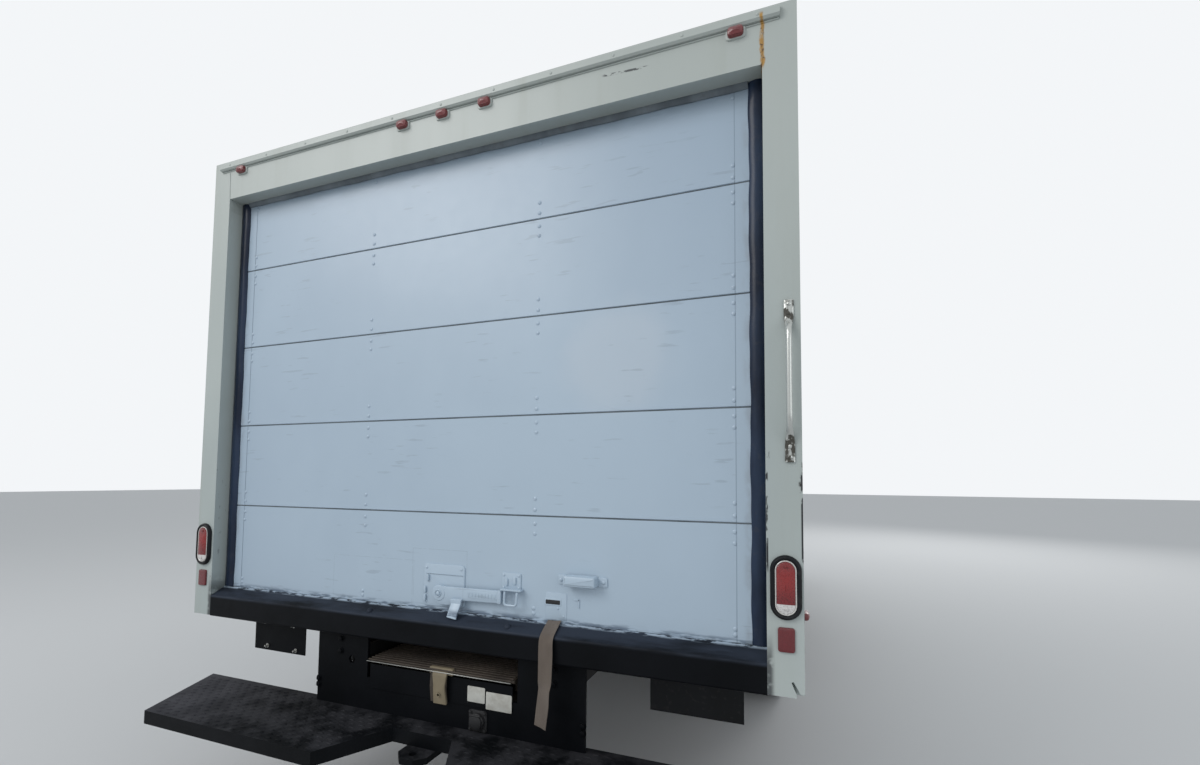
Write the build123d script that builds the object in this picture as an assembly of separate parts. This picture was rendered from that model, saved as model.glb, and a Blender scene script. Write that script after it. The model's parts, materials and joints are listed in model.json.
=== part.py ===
from build123d import *
import math
import os

# Box truck: a sheet-sided van body on a two-axle cutaway-cab chassis.
# Millimetres. X points to the truck's right, Y forward, Z up, the ground is Z = 0.
# Y is measured from the rear face of the body; the parts are moved at the very end
# so that the origin is in the middle of the footprint.

# Body box
body_width = 2591.0
body_length = 4877.0
body_bottom = 850.0
post_height = 2097.0
post_width = 103.0
post_depth = 130.0
header_height = 183.0
header_depth = 62.0
drip_rail_height = 34.0
drip_rail_depth = 16.0
drip_end_inset = 48.5
wall_thickness = 34.0
skin_inset = 6.0
rub_rail_height = 112.0
top_rail_height = 70.0
corner_radius = 60.0
roof_crown = 16.0
roof_drop = 26.0
floor_thickness = 30.0
crossmember_height = 76.0
crossmember_flange = 42.0
crossmember_pitch = 406.0
sill_height = 117.0
sill_step = 85.0
sill_bottom = -5.0

# Roll-up door and its hardware
door_set_back = 71.0
door_thickness = 24.0
door_side_gap = 20.5
door_top_lap = 41.0
first_seam = 489.0
panel_pitch = 367.0
seam_gap = 5.0
hinge_edge_inset = 77.0
hinge_middle_x = 391.0
seal_width = 47.5

# Lamps on the rear posts and the header
lamp_inset = 49.0
lamp_z = 312.0
lamp_ring_width = 88.0
lamp_ring_height = 190.0
lamp_lens_width = 59.0
lamp_lens_height = 157.0
reflector_z = 162.0
reflector_width = 47.0
reflector_height = 70.0
marker_drop = 61.0
marker_edge_inset = 182.5
marker_pitch = 191.0
handle_inset = 33.5
handle_low = 700.0
handle_high = 1140.0
handle_reach = 42.0
handle_radius = 9.0

# Chassis
wheel_radius = 372.0
tyre_width = 223.0
rim_radius = 203.0
wheelbase = 4013.0
dual_centre_x = 945.0
dual_spacing = 257.0
axle_end_x = 675.0
bead_inset = 25.0
rim_flange = 8.0
rim_dish = 122.0
front_wheel_x = 875.0
kingpin_x = 790.0
yoke_gap = 44.0
hub_face_x = 874.0
rail_outer_x = 432.0
rail_flange = 60.0
rail_wall = 7.0
rail_height = 170.0
cross_tube_radius = 30.0
engine_beam = 60.0
rail_bottom = 610.0
rail_start_y = 70.0
front_rail_height = 150.0
front_rail_bottom = 440.0
spring_x = 500.0
spring_width = 76.0
spring_half_length = 700.0
leaf_thickness = 9.0
leaf_reaches = [0.2, 0.34, 0.5, 0.66, 0.82, 1.0]
spring_rise = 80.0
spring_eye_radius = 22.0
spring_tower_x = 500.0
spring_tower_top = 576.0

# Ramp, step and what hangs below the body
ramp_half_width = 325.0
ramp_length = 3200.0
ramp_start_y = 60.0
ramp_top = 752.0
ramp_thickness = 66.0
hitch_plate_half_width = 600.0
hitch_plate_y = 56.0
hitch_plate_thickness = 12.0
step_top = 548.0
step_skirt = 50.0
step_rear_y = -270.0
step_front_y = 95.0
step_rear_inset = 160.5
step_front_inset = 5.5
notch_rear_x = 262.0
notch_inner_x = 130.0
notch_y = -30.0
tow_tongue_half_width = 62.0
tow_tongue_reach = 82.0
tow_plate = 22.0
tow_hole_radius = 13.0
tow_hole_y = -75.0
hexagon_x = -421.0
hexagon_z = -116.0
hexagon_radius = 17.0
latch_hook_x = -20.0
latch_hook_width = 70.0
flap_y = 592.0
flap_thickness = 8.0
flap_inner_reach = 261.0
flap_outer_reach = 126.0
flap_bottom = 495.0
stay_radius = 5.0
bracket_inset = 290.5
bracket_width = 300.0
bracket_height = 140.0
tank_inset = 365.5
tail_pipe_inset = 185.5
strap_x = 480.0
strap_width = 49.0
strap_thickness = 3.0
strap_drop = 205.0

# Cab; its Y values are measured from its own back wall
cab_gap = 58.0
cab_length = 2215.0
hood_length = 550.0
hood_lip_z = 985.0
windscreen_top_y = 996.0
cab_half_width = 1012.0
roof_half_width = 900.0
cab_roof_z = 2110.0
cab_bottom_z = 470.0
cab_floor_z = 600.0
nose_bottom_z = 620.0
cab_wall = 60.0
roof_wall = 45.0
plan_radius = 5000.0
axle_from_cab = 1468.0
rail_end_inset = 130.0
firewall_y = 1395.0
cowl_z = 1300.0
belt_z = 1330.0
arch_radius = 440.0
door_rear_y = 265.0
door_front_y = 1195.0
door_bevel = 11.0
door_reach = 250.0
panel_gap = 6.0
glass_thickness = 5.0
seat_gap = 0.3
seat_x = 440.0
seat_half_width = 235.0
grille_half_width = 660.0
grille_low = 700.0
grille_high = 960.0
grille_depth = 30.0
grille_slots = 5
lamp_inner_x = 690.0
lamp_outer_x = 900.0
bumper_bottom = 435.0
bumper_overhang = 55.0
mirror_reach = 178.0

# Places that follow from the sizes above
half_width = body_width / 2
post_inner_x = half_width - post_width
door_half_width = post_inner_x - door_side_gap
door_top = post_height - header_height + door_top_lap
door_seams = [first_seam + row * panel_pitch
              for row in range(int((door_top - first_seam - 200) // panel_pitch) + 1)]
hinge_edge_x = door_half_width - hinge_edge_inset
hinge_columns = [-hinge_edge_x, -hinge_middle_x, hinge_middle_x, hinge_edge_x]
seal_inner_x = post_inner_x - seal_width
lamp_x = half_width - lamp_inset
handle_x = half_width - handle_inset
marker_z = post_height - marker_drop
marker_edge_x = half_width - marker_edge_inset
marker_columns = [-marker_edge_x, -marker_pitch, 0.0, marker_pitch, marker_edge_x]
step_rear_x = half_width - step_rear_inset
step_front_x = half_width - step_front_inset
flap_inner_x = dual_centre_x - flap_inner_reach
flap_outer_x = dual_centre_x + flap_outer_reach
cab_back_y = body_length + cab_gap
front_axle_y = cab_back_y + axle_from_cab
rear_axle_y = front_axle_y - wheelbase
windscreen_foot_y = cab_length - hood_length
rail_reach = cab_length - rail_end_inset
rail_end_y = cab_back_y + rail_reach
bumper_reach = cab_length + bumper_overhang
front_y = cab_back_y + bumper_reach
floor_z = body_bottom + sill_height
joist_top = floor_z - floor_thickness
joist_bottom = joist_top - crossmember_height
rail_top = rail_bottom + rail_height
front_rail_top = front_rail_bottom + front_rail_height


def block(x0, x1, y0, y1, z0, z1):
    """Box between two opposite corners."""
    centre = Pos((x0 + x1) / 2, (y0 + y1) / 2, (z0 + z1) / 2)
    return centre * Box(abs(x1 - x0), abs(y1 - y0), abs(z1 - z0))


def outline(points, radii=0):
    """Flat face round a closed list of corners, each with its own round."""
    return make_face(FilletPolyline(*points, radius=radii, close=True))


def side_plate(points, x0, x1, radii=0):
    """Outline given as (Y, Z) corners, extruded from x0 to x1."""
    return extrude(Plane.YZ.offset(x0) * outline(points, radii), amount=x1 - x0)


def cross_plate(points, y0, y1, radii=0):
    """Outline given as (X, Z) corners, extruded from y0 to y1."""
    return extrude(Plane.XZ.offset(-y0) * outline(points, radii), amount=y0 - y1)


def flat_plate(points, z0, z1, radii=0):
    """Outline given as (X, Y) corners, extruded from z0 to z1."""
    return extrude(Plane.XY.offset(z0) * outline(points, radii), amount=z1 - z0)


def rod(start, end, radius):
    """Round bar between two points."""
    run = Vector(*end) - Vector(*start)
    plane = Plane(origin=start, z_dir=run)
    return extrude(plane * Circle(radius), amount=run.length)


def turned(points, x, y, z, radii=0):
    """Ring or disc turned about an axis along X; points are (across X, radius)."""
    face = outline(points, radii)
    body = revolve(face, axis=Axis.X)
    return Pos(x, y, z) * body


def mirrored(shape):
    """The same piece on the other side of the truck."""
    return mirror(shape, about=Plane.YZ)


def both(shape):
    """A piece and its mirror image, which don't touch."""
    return Compound(children=[shape, mirrored(shape)])


# Rear frame: two posts and a header, with the door's track slots behind the posts

def make_rear_frame():
    top = body_bottom + post_height
    post = block(post_inner_x, half_width, 0, post_depth, body_bottom, top)
    slot = block(post_inner_x - 1, post_inner_x + 50, door_set_back - 8, post_depth + 1,
                 body_bottom - 1, top - header_height)
    post -= slot
    header = block(-half_width, half_width, 0, header_depth, top - header_height, top)
    cap = block(-half_width, half_width, 0, post_depth, top - 20, top)
    reach = half_width - drip_end_inset
    drip = block(-reach, reach, -drip_rail_depth, 0,
                 top - 12 - drip_rail_height, top - 12)
    drip = chamfer(drip.edges().filter_by(Axis.X).group_by(Axis.Y)[0], 6)
    return post + mirrored(post) - torn_corner() + header + cap + drip


def torn_corner():
    """Slit and bent-off corner at the foot of the right post, knocked out in use."""
    x, z = half_width, body_bottom
    tear = [(x - 37, z + 42), (x - 31, z + 45), (x - 12, z + 12), (x - 4, z + 12),
            (x + 1, z + 16), (x + 1, z - 1), (x - 22, z - 1), (x - 24, z + 12)]
    return cross_plate(tear, -1, 28)


def make_rear_sill():
    low = body_bottom + sill_bottom
    points = [(0, low), (0, body_bottom + sill_step), (door_set_back - 8, floor_z),
              (post_depth, floor_z), (post_depth, low)]
    reach = post_inner_x - seat_gap
    return side_plate(points, -reach, reach, [8, 10, 0, 0, 0])


# Roll-up door: five panels, joined by hinge leaves on the inside

def make_roll_door():
    back_y = door_set_back + door_thickness
    edges = [sill_height + seat_gap] + door_seams + [door_top]
    door = None
    for low, high in zip(edges, edges[1:]):
        panel = block(-door_half_width, door_half_width, door_set_back, back_y,
                      body_bottom + low, body_bottom + high - seam_gap)
        door = panel if door is None else door + panel
    for seam in door_seams:
        for x in hinge_columns:
            door += block(x - 25, x + 25, back_y, back_y + 6,
                          body_bottom + seam - 60, body_bottom + seam + 55)
    return door


def make_door_seals():
    top = body_bottom + post_height - header_height
    front = door_set_back - 8
    side = block(seal_inner_x, post_inner_x - seat_gap, front, door_set_back - seat_gap,
                 floor_z + seat_gap, top - seat_gap)
    head = block(-seal_inner_x, seal_inner_x, header_depth + seat_gap,
                 door_set_back - seat_gap, top - 14, top + 60)
    return Compound(children=[side, mirrored(side), head])


def make_door_latch():
    face = door_set_back - seat_gap
    base_z = body_bottom + 129
    base = block(-86, 101, face - 5, face, base_z, base_z + 160)
    base = fillet(base.edges().filter_by(Axis.Y), 14)
    pivot = rod((-2, face - 4, body_bottom + 182), (-2, face - 24, body_bottom + 182), 26)
    lever_points = [(-24, 168), (60, 150), (277, 174), (277, 208), (60, 196), (-24, 198)]
    lever_points = [(x, body_bottom + z) for x, z in lever_points]
    lever = cross_plate(lever_points, face - 20, face - 12, [10, 0, 8, 8, 0, 10])
    hook = block(60, 78, 20, face - 12, body_bottom + 140, body_bottom + 152)
    hook += block(60, 78, 20, 32, body_bottom + 112, body_bottom + 152)
    return base + pivot + lever + hook


def make_latch_keeper():
    face = door_set_back - seat_gap
    low = body_bottom + 172
    plate = block(256, 344, face - 4, face, low, low + 106)
    plate = fillet(plate.edges().filter_by(Axis.Y), 8)
    loop = block(293, 343, face - 44, face - 4, low + 4, low + 38)
    loop -= block(301, 335, face - 45, face - 12, low - 1, low + 45)
    return plate + loop


def make_lift_handle():
    face = door_set_back - seat_gap
    z = body_bottom + 269
    feet = [block(x - 22, x + 22, face - 5, face, z - 15, z + 15) for x in (524, 650)]
    bar = block(524 - 8, 650 + 8, face - 38, face - 28, z - 9, z + 9)
    legs = [block(x - 6, x + 6, face - 30, face - 4, z - 9, z + 9) for x in (524, 650)]
    return feet[0] + feet[1] + legs[0] + legs[1] + bar


# Lamps, reflectors and the grab handle

def stadium(width, height, x, z, y0, y1):
    """Upright plate with round ends."""
    sketch = Plane.XZ.offset(-y1) * (Pos(x, z) * SlotOverall(height, width, rotation=90))
    return extrude(sketch, amount=y1 - y0)


def make_lamp_rings():
    z = body_bottom + lamp_z
    ring = stadium(lamp_ring_width, lamp_ring_height, lamp_x, z, -9, -seat_gap)
    ring -= stadium(lamp_lens_width, lamp_lens_height, lamp_x, z, -10, 0)
    return both(ring)


def make_lamp_lenses():
    z = body_bottom + lamp_z
    gap = 2 * seat_gap
    lens = stadium(lamp_lens_width - gap, lamp_lens_height - gap, lamp_x, z, -16, -seat_gap)
    lens = chamfer(lens.faces().sort_by(Axis.Y)[0].edges(), 4)
    reflector = block(lamp_x - reflector_width / 2, lamp_x + reflector_width / 2,
                      -8, -seat_gap, body_bottom + reflector_z - reflector_height / 2,
                      body_bottom + reflector_z + reflector_height / 2)
    reflector = fillet(reflector.edges().filter_by(Axis.Y), 4)
    pieces = [lens, mirrored(lens), reflector, mirrored(reflector)]
    for x in marker_columns:
        marker = block(x - 25, x + 25, -20, -seat_gap,
                       body_bottom + marker_z - 15, body_bottom + marker_z + 15)
        marker = chamfer(marker.faces().sort_by(Axis.Y)[0].edges(), 5)
        pieces.append(marker)
    return Compound(children=pieces)


def make_grab_handle():
    """Bent tube on the right post with a pad at each end."""
    x = handle_x
    low, high = body_bottom + handle_low, body_bottom + handle_high
    start = -seat_gap - 2
    bend = 17
    path = Polyline((x, start, low), (x, bend - handle_reach, low), (x, -handle_reach, low + bend),
                    (x, -handle_reach, high - bend), (x, bend - handle_reach, high), (x, start, high))
    bar = sweep(Plane(origin=path @ 0, z_dir=path % 0) * Circle(handle_radius), path=path,
                transition=Transition.RIGHT)
    for z in (low, high):
        pad = block(x - 22, x + 22, -seat_gap - 4, -seat_gap, z - 26, z + 26)
        bar += fillet(pad.edges().filter_by(Axis.Y), 10)
    return bar


# Van body: sides, front wall, roof, floor and crossmembers

def make_box_side():
    top = body_bottom + post_height - roof_drop
    outer = half_width - skin_inset
    inner = outer - wall_thickness
    front = body_length - corner_radius
    wall = block(inner, outer, post_depth + seat_gap, front, body_bottom + 14, top)
    rub = block(outer - 4, half_width, post_depth + seat_gap, front,
                body_bottom + 14, body_bottom + 14 + rub_rail_height)
    rub -= block(half_width - 3, half_width + 1, 0, body_length,
                 body_bottom + 40, body_bottom + 100)
    rail = block(outer - 4, half_width - 1, post_depth + seat_gap, front,
                 top - top_rail_height, top)
    return wall + rub + rail


def make_box_front_wall():
    """Front wall with the round corner posts, as one bent profile."""
    outer = half_width - skin_inset
    y1 = body_length
    y0 = body_length - corner_radius
    inner = outer - wall_thickness
    points = [(-outer, y0 + seat_gap), (-outer, y1), (outer, y1), (outer, y0 + seat_gap),
              (inner, y0 + seat_gap), (inner, y1 - wall_thickness),
              (-inner, y1 - wall_thickness), (-inner, y0 + seat_gap)]
    radii = [0, corner_radius - 2, corner_radius - 2, 0, 0, 0, 0, 0]
    top = body_bottom + post_height - roof_drop
    return flat_plate(points, body_bottom + 14, top, radii)


def make_box_roof():
    """Crowned roof skin with its edge rails, between the header and the front."""
    low = body_bottom + post_height - roof_drop + seat_gap
    high = low + 8
    reach = half_width - skin_inset
    sketch = make_face(Polyline((-reach, high), (-reach, low), (reach, low), (reach, high))
                       + ThreePointArc((reach, high), (0, high + roof_crown), (-reach, high)))
    roof = extrude(Plane.XZ.offset(-post_depth - seat_gap) * sketch,
                   amount=-(body_length - post_depth - seat_gap))
    hollow = block(-reach + 40, reach - 40, post_depth + 30, body_length - 40,
                   low - 5, low + 4)
    return roof - hollow


def make_box_floor():
    inner = half_width - skin_inset - wall_thickness - seat_gap
    return block(-inner, inner, post_depth + seat_gap,
                 body_length - wall_thickness - seat_gap, joist_top, floor_z)


def make_crossmembers():
    """Steel I-beams across the truck on two long sills over the frame rails."""
    inner = half_width - skin_inset - wall_thickness - seat_gap
    low, top = joist_bottom, joist_top - seat_gap
    flange = crossmember_flange / 2
    long_sill = block(rail_outer_x - rail_flange, rail_outer_x, post_depth + 10,
                      body_length - 60, rail_top + seat_gap, low - seat_gap)
    pieces = [long_sill, mirrored(long_sill)]
    y = post_depth + 60
    while y < body_length - 60:
        beam = [(y - flange, low), (y + flange, low), (y + flange, low + 6), (y + 3, low + 6),
                (y + 3, top - 6), (y + flange, top - 6), (y + flange, top), (y - flange, top),
                (y - flange, top - 6), (y - 3, top - 6), (y - 3, low + 6), (y - flange, low + 6)]
        pieces.append(side_plate(beam, -inner, inner))
        y += crossmember_pitch
    return Compound(children=pieces)


# Chassis

def spring_eye_z():
    """Height of the spring eyes, at the ends of the longest leaf."""
    seat_z = wheel_radius + 80 + seat_gap
    return seat_z + len(leaf_reaches) * leaf_thickness + spring_rise - leaf_thickness / 2


def rail_outline(inset):
    """Side view of a frame rail: deep behind, kicked down under the cab."""
    kick = cab_back_y - 585
    return [(rail_start_y, rail_bottom + inset), (kick, rail_bottom + inset),
            (kick + 450, front_rail_bottom + inset), (rail_end_y, front_rail_bottom + inset),
            (rail_end_y, front_rail_top - inset), (kick + 520, front_rail_top - inset),
            (kick + 70, rail_top - inset), (rail_start_y, rail_top - inset)]


def make_chassis_frame():
    inner = rail_outer_x - rail_flange
    rail = side_plate(rail_outline(0), inner, rail_outer_x)
    rail -= side_plate(rail_outline(rail_wall), inner - 1, rail_outer_x - rail_wall)
    for y in (rear_axle_y - spring_half_length, rear_axle_y + spring_half_length):
        hanger = side_plate([(y - 60, rail_bottom + 120), (y + 60, rail_bottom + 120),
                             (y + 34, spring_eye_z() - 32), (y - 34, spring_eye_z() - 32)],
                            rail_outer_x, spring_x + spring_width / 2 + 10, [0, 0, 20, 20])
        rail += hanger - block(spring_x - spring_width / 2 - 2, spring_x + spring_width / 2 + 2,
                               y - 70, y + 70, 480, spring_eye_z() + spring_eye_radius + seat_gap)
    rail += block(300, rail_outer_x - rail_wall, ramp_start_y + 80, ramp_start_y + ramp_length + 20,
                  ramp_top - ramp_thickness - 6, ramp_top - ramp_thickness - seat_gap)
    rail += block(rail_outer_x - 3, spring_tower_x + 60, front_axle_y - 60, front_axle_y + 60,
                  spring_tower_top + seat_gap, front_rail_top)
    for y in (cab_back_y + 315, cab_back_y + 1215):
        puck = Pos(rail_outer_x - 30, y, (front_rail_top + cab_floor_z) / 2)
        rail += puck * Cylinder(28, cab_floor_z - front_rail_top)
    pieces = [rail, mirrored(rail)]
    reach = rail_outer_x - rail_wall - seat_gap
    tube_z = rail_bottom + rail_wall + cross_tube_radius + seat_gap
    for y in (420, rear_axle_y - 890, rear_axle_y + 770, cab_back_y - 685):
        pieces.append(rod((-reach, y, tube_z), (reach, y, tube_z), cross_tube_radius))
    for y, low in ((cab_back_y + 215, front_rail_top - rail_wall - seat_gap - engine_beam),
                   (cab_back_y + 1965, front_rail_bottom + rail_wall + seat_gap)):
        pieces.append(block(-reach, reach, y - 40, y + 40, low, low + engine_beam))
    return Compound(children=pieces)


def make_rear_axle():
    """Banjo axle: a round bowl for the gears between two tubes."""
    reach = axle_end_x
    points = [(-reach, 0), (-reach, 62), (-300, 62), (-170, 150), (-110, 165), (110, 165),
              (170, 150), (300, 62), (reach, 62), (reach, 0)]
    axle = turned(points, 0, rear_axle_y, wheel_radius)
    axle += rod((0, rear_axle_y, wheel_radius), (0, rear_axle_y + 260, wheel_radius + 18), 70)
    for side in (-1, 1):
        axle += block(side * (spring_x - 38), side * (spring_x + 38), rear_axle_y - 55,
                      rear_axle_y + 55, wheel_radius + 30, wheel_radius + 80)
    return axle


def make_rear_springs():
    """Two leaf packs, each a stack of arcs that get longer upwards, with rolled eyes."""
    x0 = spring_x - spring_width / 2
    seat_z = wheel_radius + 80 + seat_gap
    top_z = seat_z + len(leaf_reaches) * leaf_thickness
    spring = block(x0, x0 + spring_width, rear_axle_y - 50, rear_axle_y + 50, seat_z, top_z + 10)
    for step, reach in enumerate(leaf_reaches):
        half = spring_half_length * reach
        rise = spring_rise * reach * reach
        low = seat_z + step * leaf_thickness
        high = low + leaf_thickness + 0.4
        lower = ThreePointArc((rear_axle_y - half, low + rise), (rear_axle_y, low),
                              (rear_axle_y + half, low + rise))
        upper = ThreePointArc((rear_axle_y + half, high + rise), (rear_axle_y, high),
                              (rear_axle_y - half, high + rise))
        face = make_face([lower, Line(lower @ 1, upper @ 0), upper, Line(upper @ 1, lower @ 0)])
        spring += extrude(Plane.YZ.offset(x0) * face, amount=spring_width)
    for side in (-1, 1):
        y = rear_axle_y + side * spring_half_length
        spring += rod((x0, y, spring_eye_z()), (x0 + spring_width, y, spring_eye_z()),
                      spring_eye_radius)
    return both(spring)


def make_front_axle():
    """Dropped I-beam with a kingpin boss at each end and its coil towers."""
    z = wheel_radius
    beam_points = [(-kingpin_x + 40, z + 38), (-560, z - 20), (560, z - 20),
                   (kingpin_x - 40, z + 38), (kingpin_x - 40, z - 38), (520, z - 90),
                   (-520, z - 90), (-kingpin_x + 40, z - 38)]
    beam = cross_plate(beam_points, front_axle_y - 35, front_axle_y + 35)
    for side in (-1, 1):
        beam += Pos(side * kingpin_x, front_axle_y, z) * Cylinder(36, 2 * (yoke_gap - seat_gap))
        beam += block(side * (kingpin_x - 60), side * (kingpin_x - 20), front_axle_y - 35,
                      front_axle_y + 35, z - 38, z + 38)
        beam += rod((side * spring_tower_x, front_axle_y, z - 60),
                    (side * spring_tower_x, front_axle_y, spring_tower_top), 55)
    return beam


def make_engine_block():
    """Engine as one plain block with its gearbox behind it."""
    low = front_rail_bottom + rail_wall + engine_beam + 2 * seat_gap
    y = cab_back_y
    engine = block(-280, 280, y + 1465, y + 2045, low, 1060)
    gearbox = block(-150, 150, y + 965, y + 1465, 400, 590)
    gearbox += rod((0, y + 965, 490), (0, y + 705, 490), 85)
    shaft = rod((0, y + 705, 490), (0, rear_axle_y + 275, wheel_radius + 20), 42)
    return engine + gearbox + shaft


def make_fuel_tank():
    outer = half_width - tank_inset
    rear, front = cab_back_y - 1515, cab_back_y - 685
    tank = block(-outer, -rail_outer_x - 38, rear, front, 480, 780)
    tank = fillet(tank.edges().filter_by(Axis.Y), 45)
    for y in (rear + 180, front - 180):
        tank += block(-outer - 6, -rail_outer_x - seat_gap, y - 20, y + 20, 620, 786)
    return tank


def make_exhaust():
    x, z = 620.0, 560.0
    y = cab_back_y
    outlet = half_width - tail_pipe_inset
    muffler = Pos(x, y - 935, z + 10) * Rot(90, 0, 0) * Cylinder(100, 620)
    pipe = Polyline((x, y + 665, z), (x, y - 1560, z), (x + 30, y - 1640, z - 5),
                    (x + 100, y - 1690, z - 20), (outlet, y - 1745, z - 60))
    section = Plane(origin=pipe @ 0, z_dir=pipe % 0) * Circle(32)
    tail = sweep(section, path=pipe, transition=Transition.RIGHT)
    hanger = block(rail_outer_x + seat_gap, x, y - 755, y - 715, z + 40, z + 80)
    return muffler + tail + hanger


# Ramp, rear cross plate and step

def make_ramp():
    low = ramp_top - ramp_thickness
    deck = block(-ramp_half_width, ramp_half_width, ramp_start_y + 60,
                 ramp_start_y + ramp_length, ramp_top - 22, ramp_top)
    lip = side_plate([(ramp_start_y, ramp_top - 14), (ramp_start_y + 60, ramp_top - 40),
                      (ramp_start_y + 60, ramp_top), (ramp_start_y, ramp_top - 4)],
                     -ramp_half_width, ramp_half_width)
    ramp = deck + lip
    for x in (-ramp_half_width, -115, 85, ramp_half_width - 30):
        ramp += block(x, x + 30, ramp_start_y + 60, ramp_start_y + ramp_length, low, ramp_top)
    hook = [(ramp_start_y + 4, ramp_top - 10), (ramp_start_y - 22, ramp_top - 8),
            (ramp_start_y - 26, ramp_top - 62), (ramp_start_y - 18, ramp_top - 118),
            (ramp_start_y - 10, ramp_top - 118), (ramp_start_y - 18, ramp_top - 62),
            (ramp_start_y - 15, ramp_top - 18), (ramp_start_y + 4, ramp_top - 16)]
    return ramp + side_plate(hook, latch_hook_x, latch_hook_x + latch_hook_width)


def make_step_bumper():
    """Rear cross plate with the ramp's slot, and the notched step it carries."""
    y0 = hitch_plate_y
    y1 = hitch_plate_y + hitch_plate_thickness
    top = body_bottom + sill_bottom - seat_gap
    plate = block(-hitch_plate_half_width, hitch_plate_half_width, y0, y1,
                  step_top - step_skirt, top)
    plate -= block(-ramp_half_width - 15, ramp_half_width + 15, y0 - 1, y1 + 1,
                   ramp_top - ramp_thickness - 12, top - 14)
    half = [(notch_inner_x, notch_y), (notch_rear_x, step_rear_y), (step_rear_x, step_rear_y),
            (step_front_x, step_front_y)]
    points = half + [(-x, y) for x, y in reversed(half)]
    deck = flat_plate(points, step_top - 6, step_top)
    skirt = flat_plate(points, step_top - step_skirt, step_top - 6)
    inner = [(notch_inner_x + 8, notch_y + 6), (notch_rear_x + 6, step_rear_y + 6),
             (step_rear_x - 6, step_rear_y + 6), (step_front_x - 14, step_front_y - 6)]
    inner = inner + [(-x, y) for x, y in reversed(inner)]
    skirt -= flat_plate(inner, step_top - step_skirt - 1, step_top - 5)
    low = step_top - step_skirt - tow_plate
    tongue = [(-tow_tongue_half_width, hitch_plate_y), (-tow_tongue_half_width, notch_y - 48),
              (-tow_tongue_half_width + 34, notch_y - tow_tongue_reach),
              (tow_tongue_half_width - 34, notch_y - tow_tongue_reach),
              (tow_tongue_half_width, notch_y - 48), (tow_tongue_half_width, hitch_plate_y)]
    bar = flat_plate(tongue, low, low + tow_plate)
    bar += block(-tow_tongue_half_width, tow_tongue_half_width, hitch_plate_y, y1,
                 low, low + tow_plate + 1)
    ball_hole = Pos(0, tow_hole_y, low + tow_plate / 2) * Cylinder(tow_hole_radius, 2 * tow_plate)
    hexagon = Pos(hexagon_x, y1, body_bottom + hexagon_z) * Rot(90, 0, 0) * extrude(
        RegularPolygon(hexagon_radius, 6), amount=30, both=True)
    return plate - hexagon + deck + skirt + bar - ball_hole


def make_plate_bracket():
    z1 = body_bottom + sill_bottom - seat_gap
    y = 80.0
    x0 = -half_width + bracket_inset
    x1 = x0 + bracket_width
    bracket = block(x0, x1, y, y + 4, z1 - bracket_height, z1)
    bracket += block(x0, x1, y, y + 40, z1 - 4, z1)
    for spot in GridLocations(178, 121, 2, 2):
        centre = Pos((x0 + x1) / 2 + spot.position.X, y + 2,
                     z1 - bracket_height / 2 + spot.position.Y)
        bracket -= centre * Rot(90, 0, 0) * Cylinder(4, 20)
    return bracket


def make_mud_flaps():
    """Rubber flap under a crossmember, with a bent wire stay behind it."""
    top = joist_bottom - seat_gap
    flap = block(flap_inner_x, flap_outer_x, flap_y, flap_y + flap_thickness, flap_bottom, top)
    y = flap_y - stay_radius + 1
    corner_z = flap_bottom + 143
    x = flap_outer_x - 54
    stay = rod((x - 21, y, top), (x, y, corner_z), stay_radius)
    stay += rod((x - 3, y, corner_z), (flap_outer_x + 41, y, corner_z + 6), stay_radius)
    return both(flap + stay)


def make_pull_strap():
    """Webbing from under the door, over the sill's edge and straight down."""
    edge = body_bottom + sill_step
    end = body_bottom - strap_drop
    points = [(62, floor_z + 1), (-0.5, edge + 1.3), (-0.5, end), (-0.5 - strap_thickness, end),
              (-0.5 - strap_thickness, edge + 3.6), (61, floor_z + 1 + strap_thickness)]
    return side_plate(points, strap_x - strap_width / 2, strap_x + strap_width / 2)


# Wheels

def make_tyre(x):
    """Tyre section turned about the axle: bead seat, bulged sides and a flat tread."""
    w = tyre_width / 2
    bead = rim_radius + seat_gap
    bulge = bead + 84
    points = [(x - w + bead_inset, bead), (x - w, bulge), (x - w + 30, wheel_radius),
              (x + w - 30, wheel_radius), (x + w, bulge), (x + w - bead_inset, bead)]
    return turned(points, 0, 0, 0)


def make_rim(x, side, hand_holes):
    """Rim with its lip and its dished disc towards one side, all one turned section."""
    w = tyre_width / 2 - bead_inset + seat_gap
    r = rim_radius
    across = [(-w - rim_flange, r - 12), (-w - rim_flange, r + 9), (-w, r), (w, r),
              (w + rim_flange, r + 9), (w + rim_flange, r - 12), (68, r - 16),
              (rim_dish, 118), (rim_dish, 58), (rim_dish - 10, 58), (rim_dish - 10, 112),
              (56, r - 18)]
    rim = turned([(x + side * place, radius) for place, radius in across], 0, 0, 0)
    for turn in range(hand_holes):
        hole = Pos(x + side * 92, 0, 148) * Rot(0, 90, 0) * Cylinder(21, 90)
        rim -= Rot(turn * 360.0 / hand_holes, 0, 0) * hole
    return rim


def make_front_wheel():
    """Single front wheel, its dish outwards, with the hub and brake disc."""
    centre = Pos(front_wheel_x, front_axle_y, wheel_radius)
    start = hub_face_x + seat_gap - front_wheel_x
    hub = turned([(start, 0), (start, 62), (start + 12, 62), (start + 12, 150),
                  (start + 34, 150), (start + 34, 62), (rim_dish + 2, 62), (rim_dish + 46, 54),
                  (rim_dish + 46, 0)], 0, 0, 0)
    return centre * make_tyre(0), centre * (make_rim(0, 1, 4) + hub)


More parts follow.
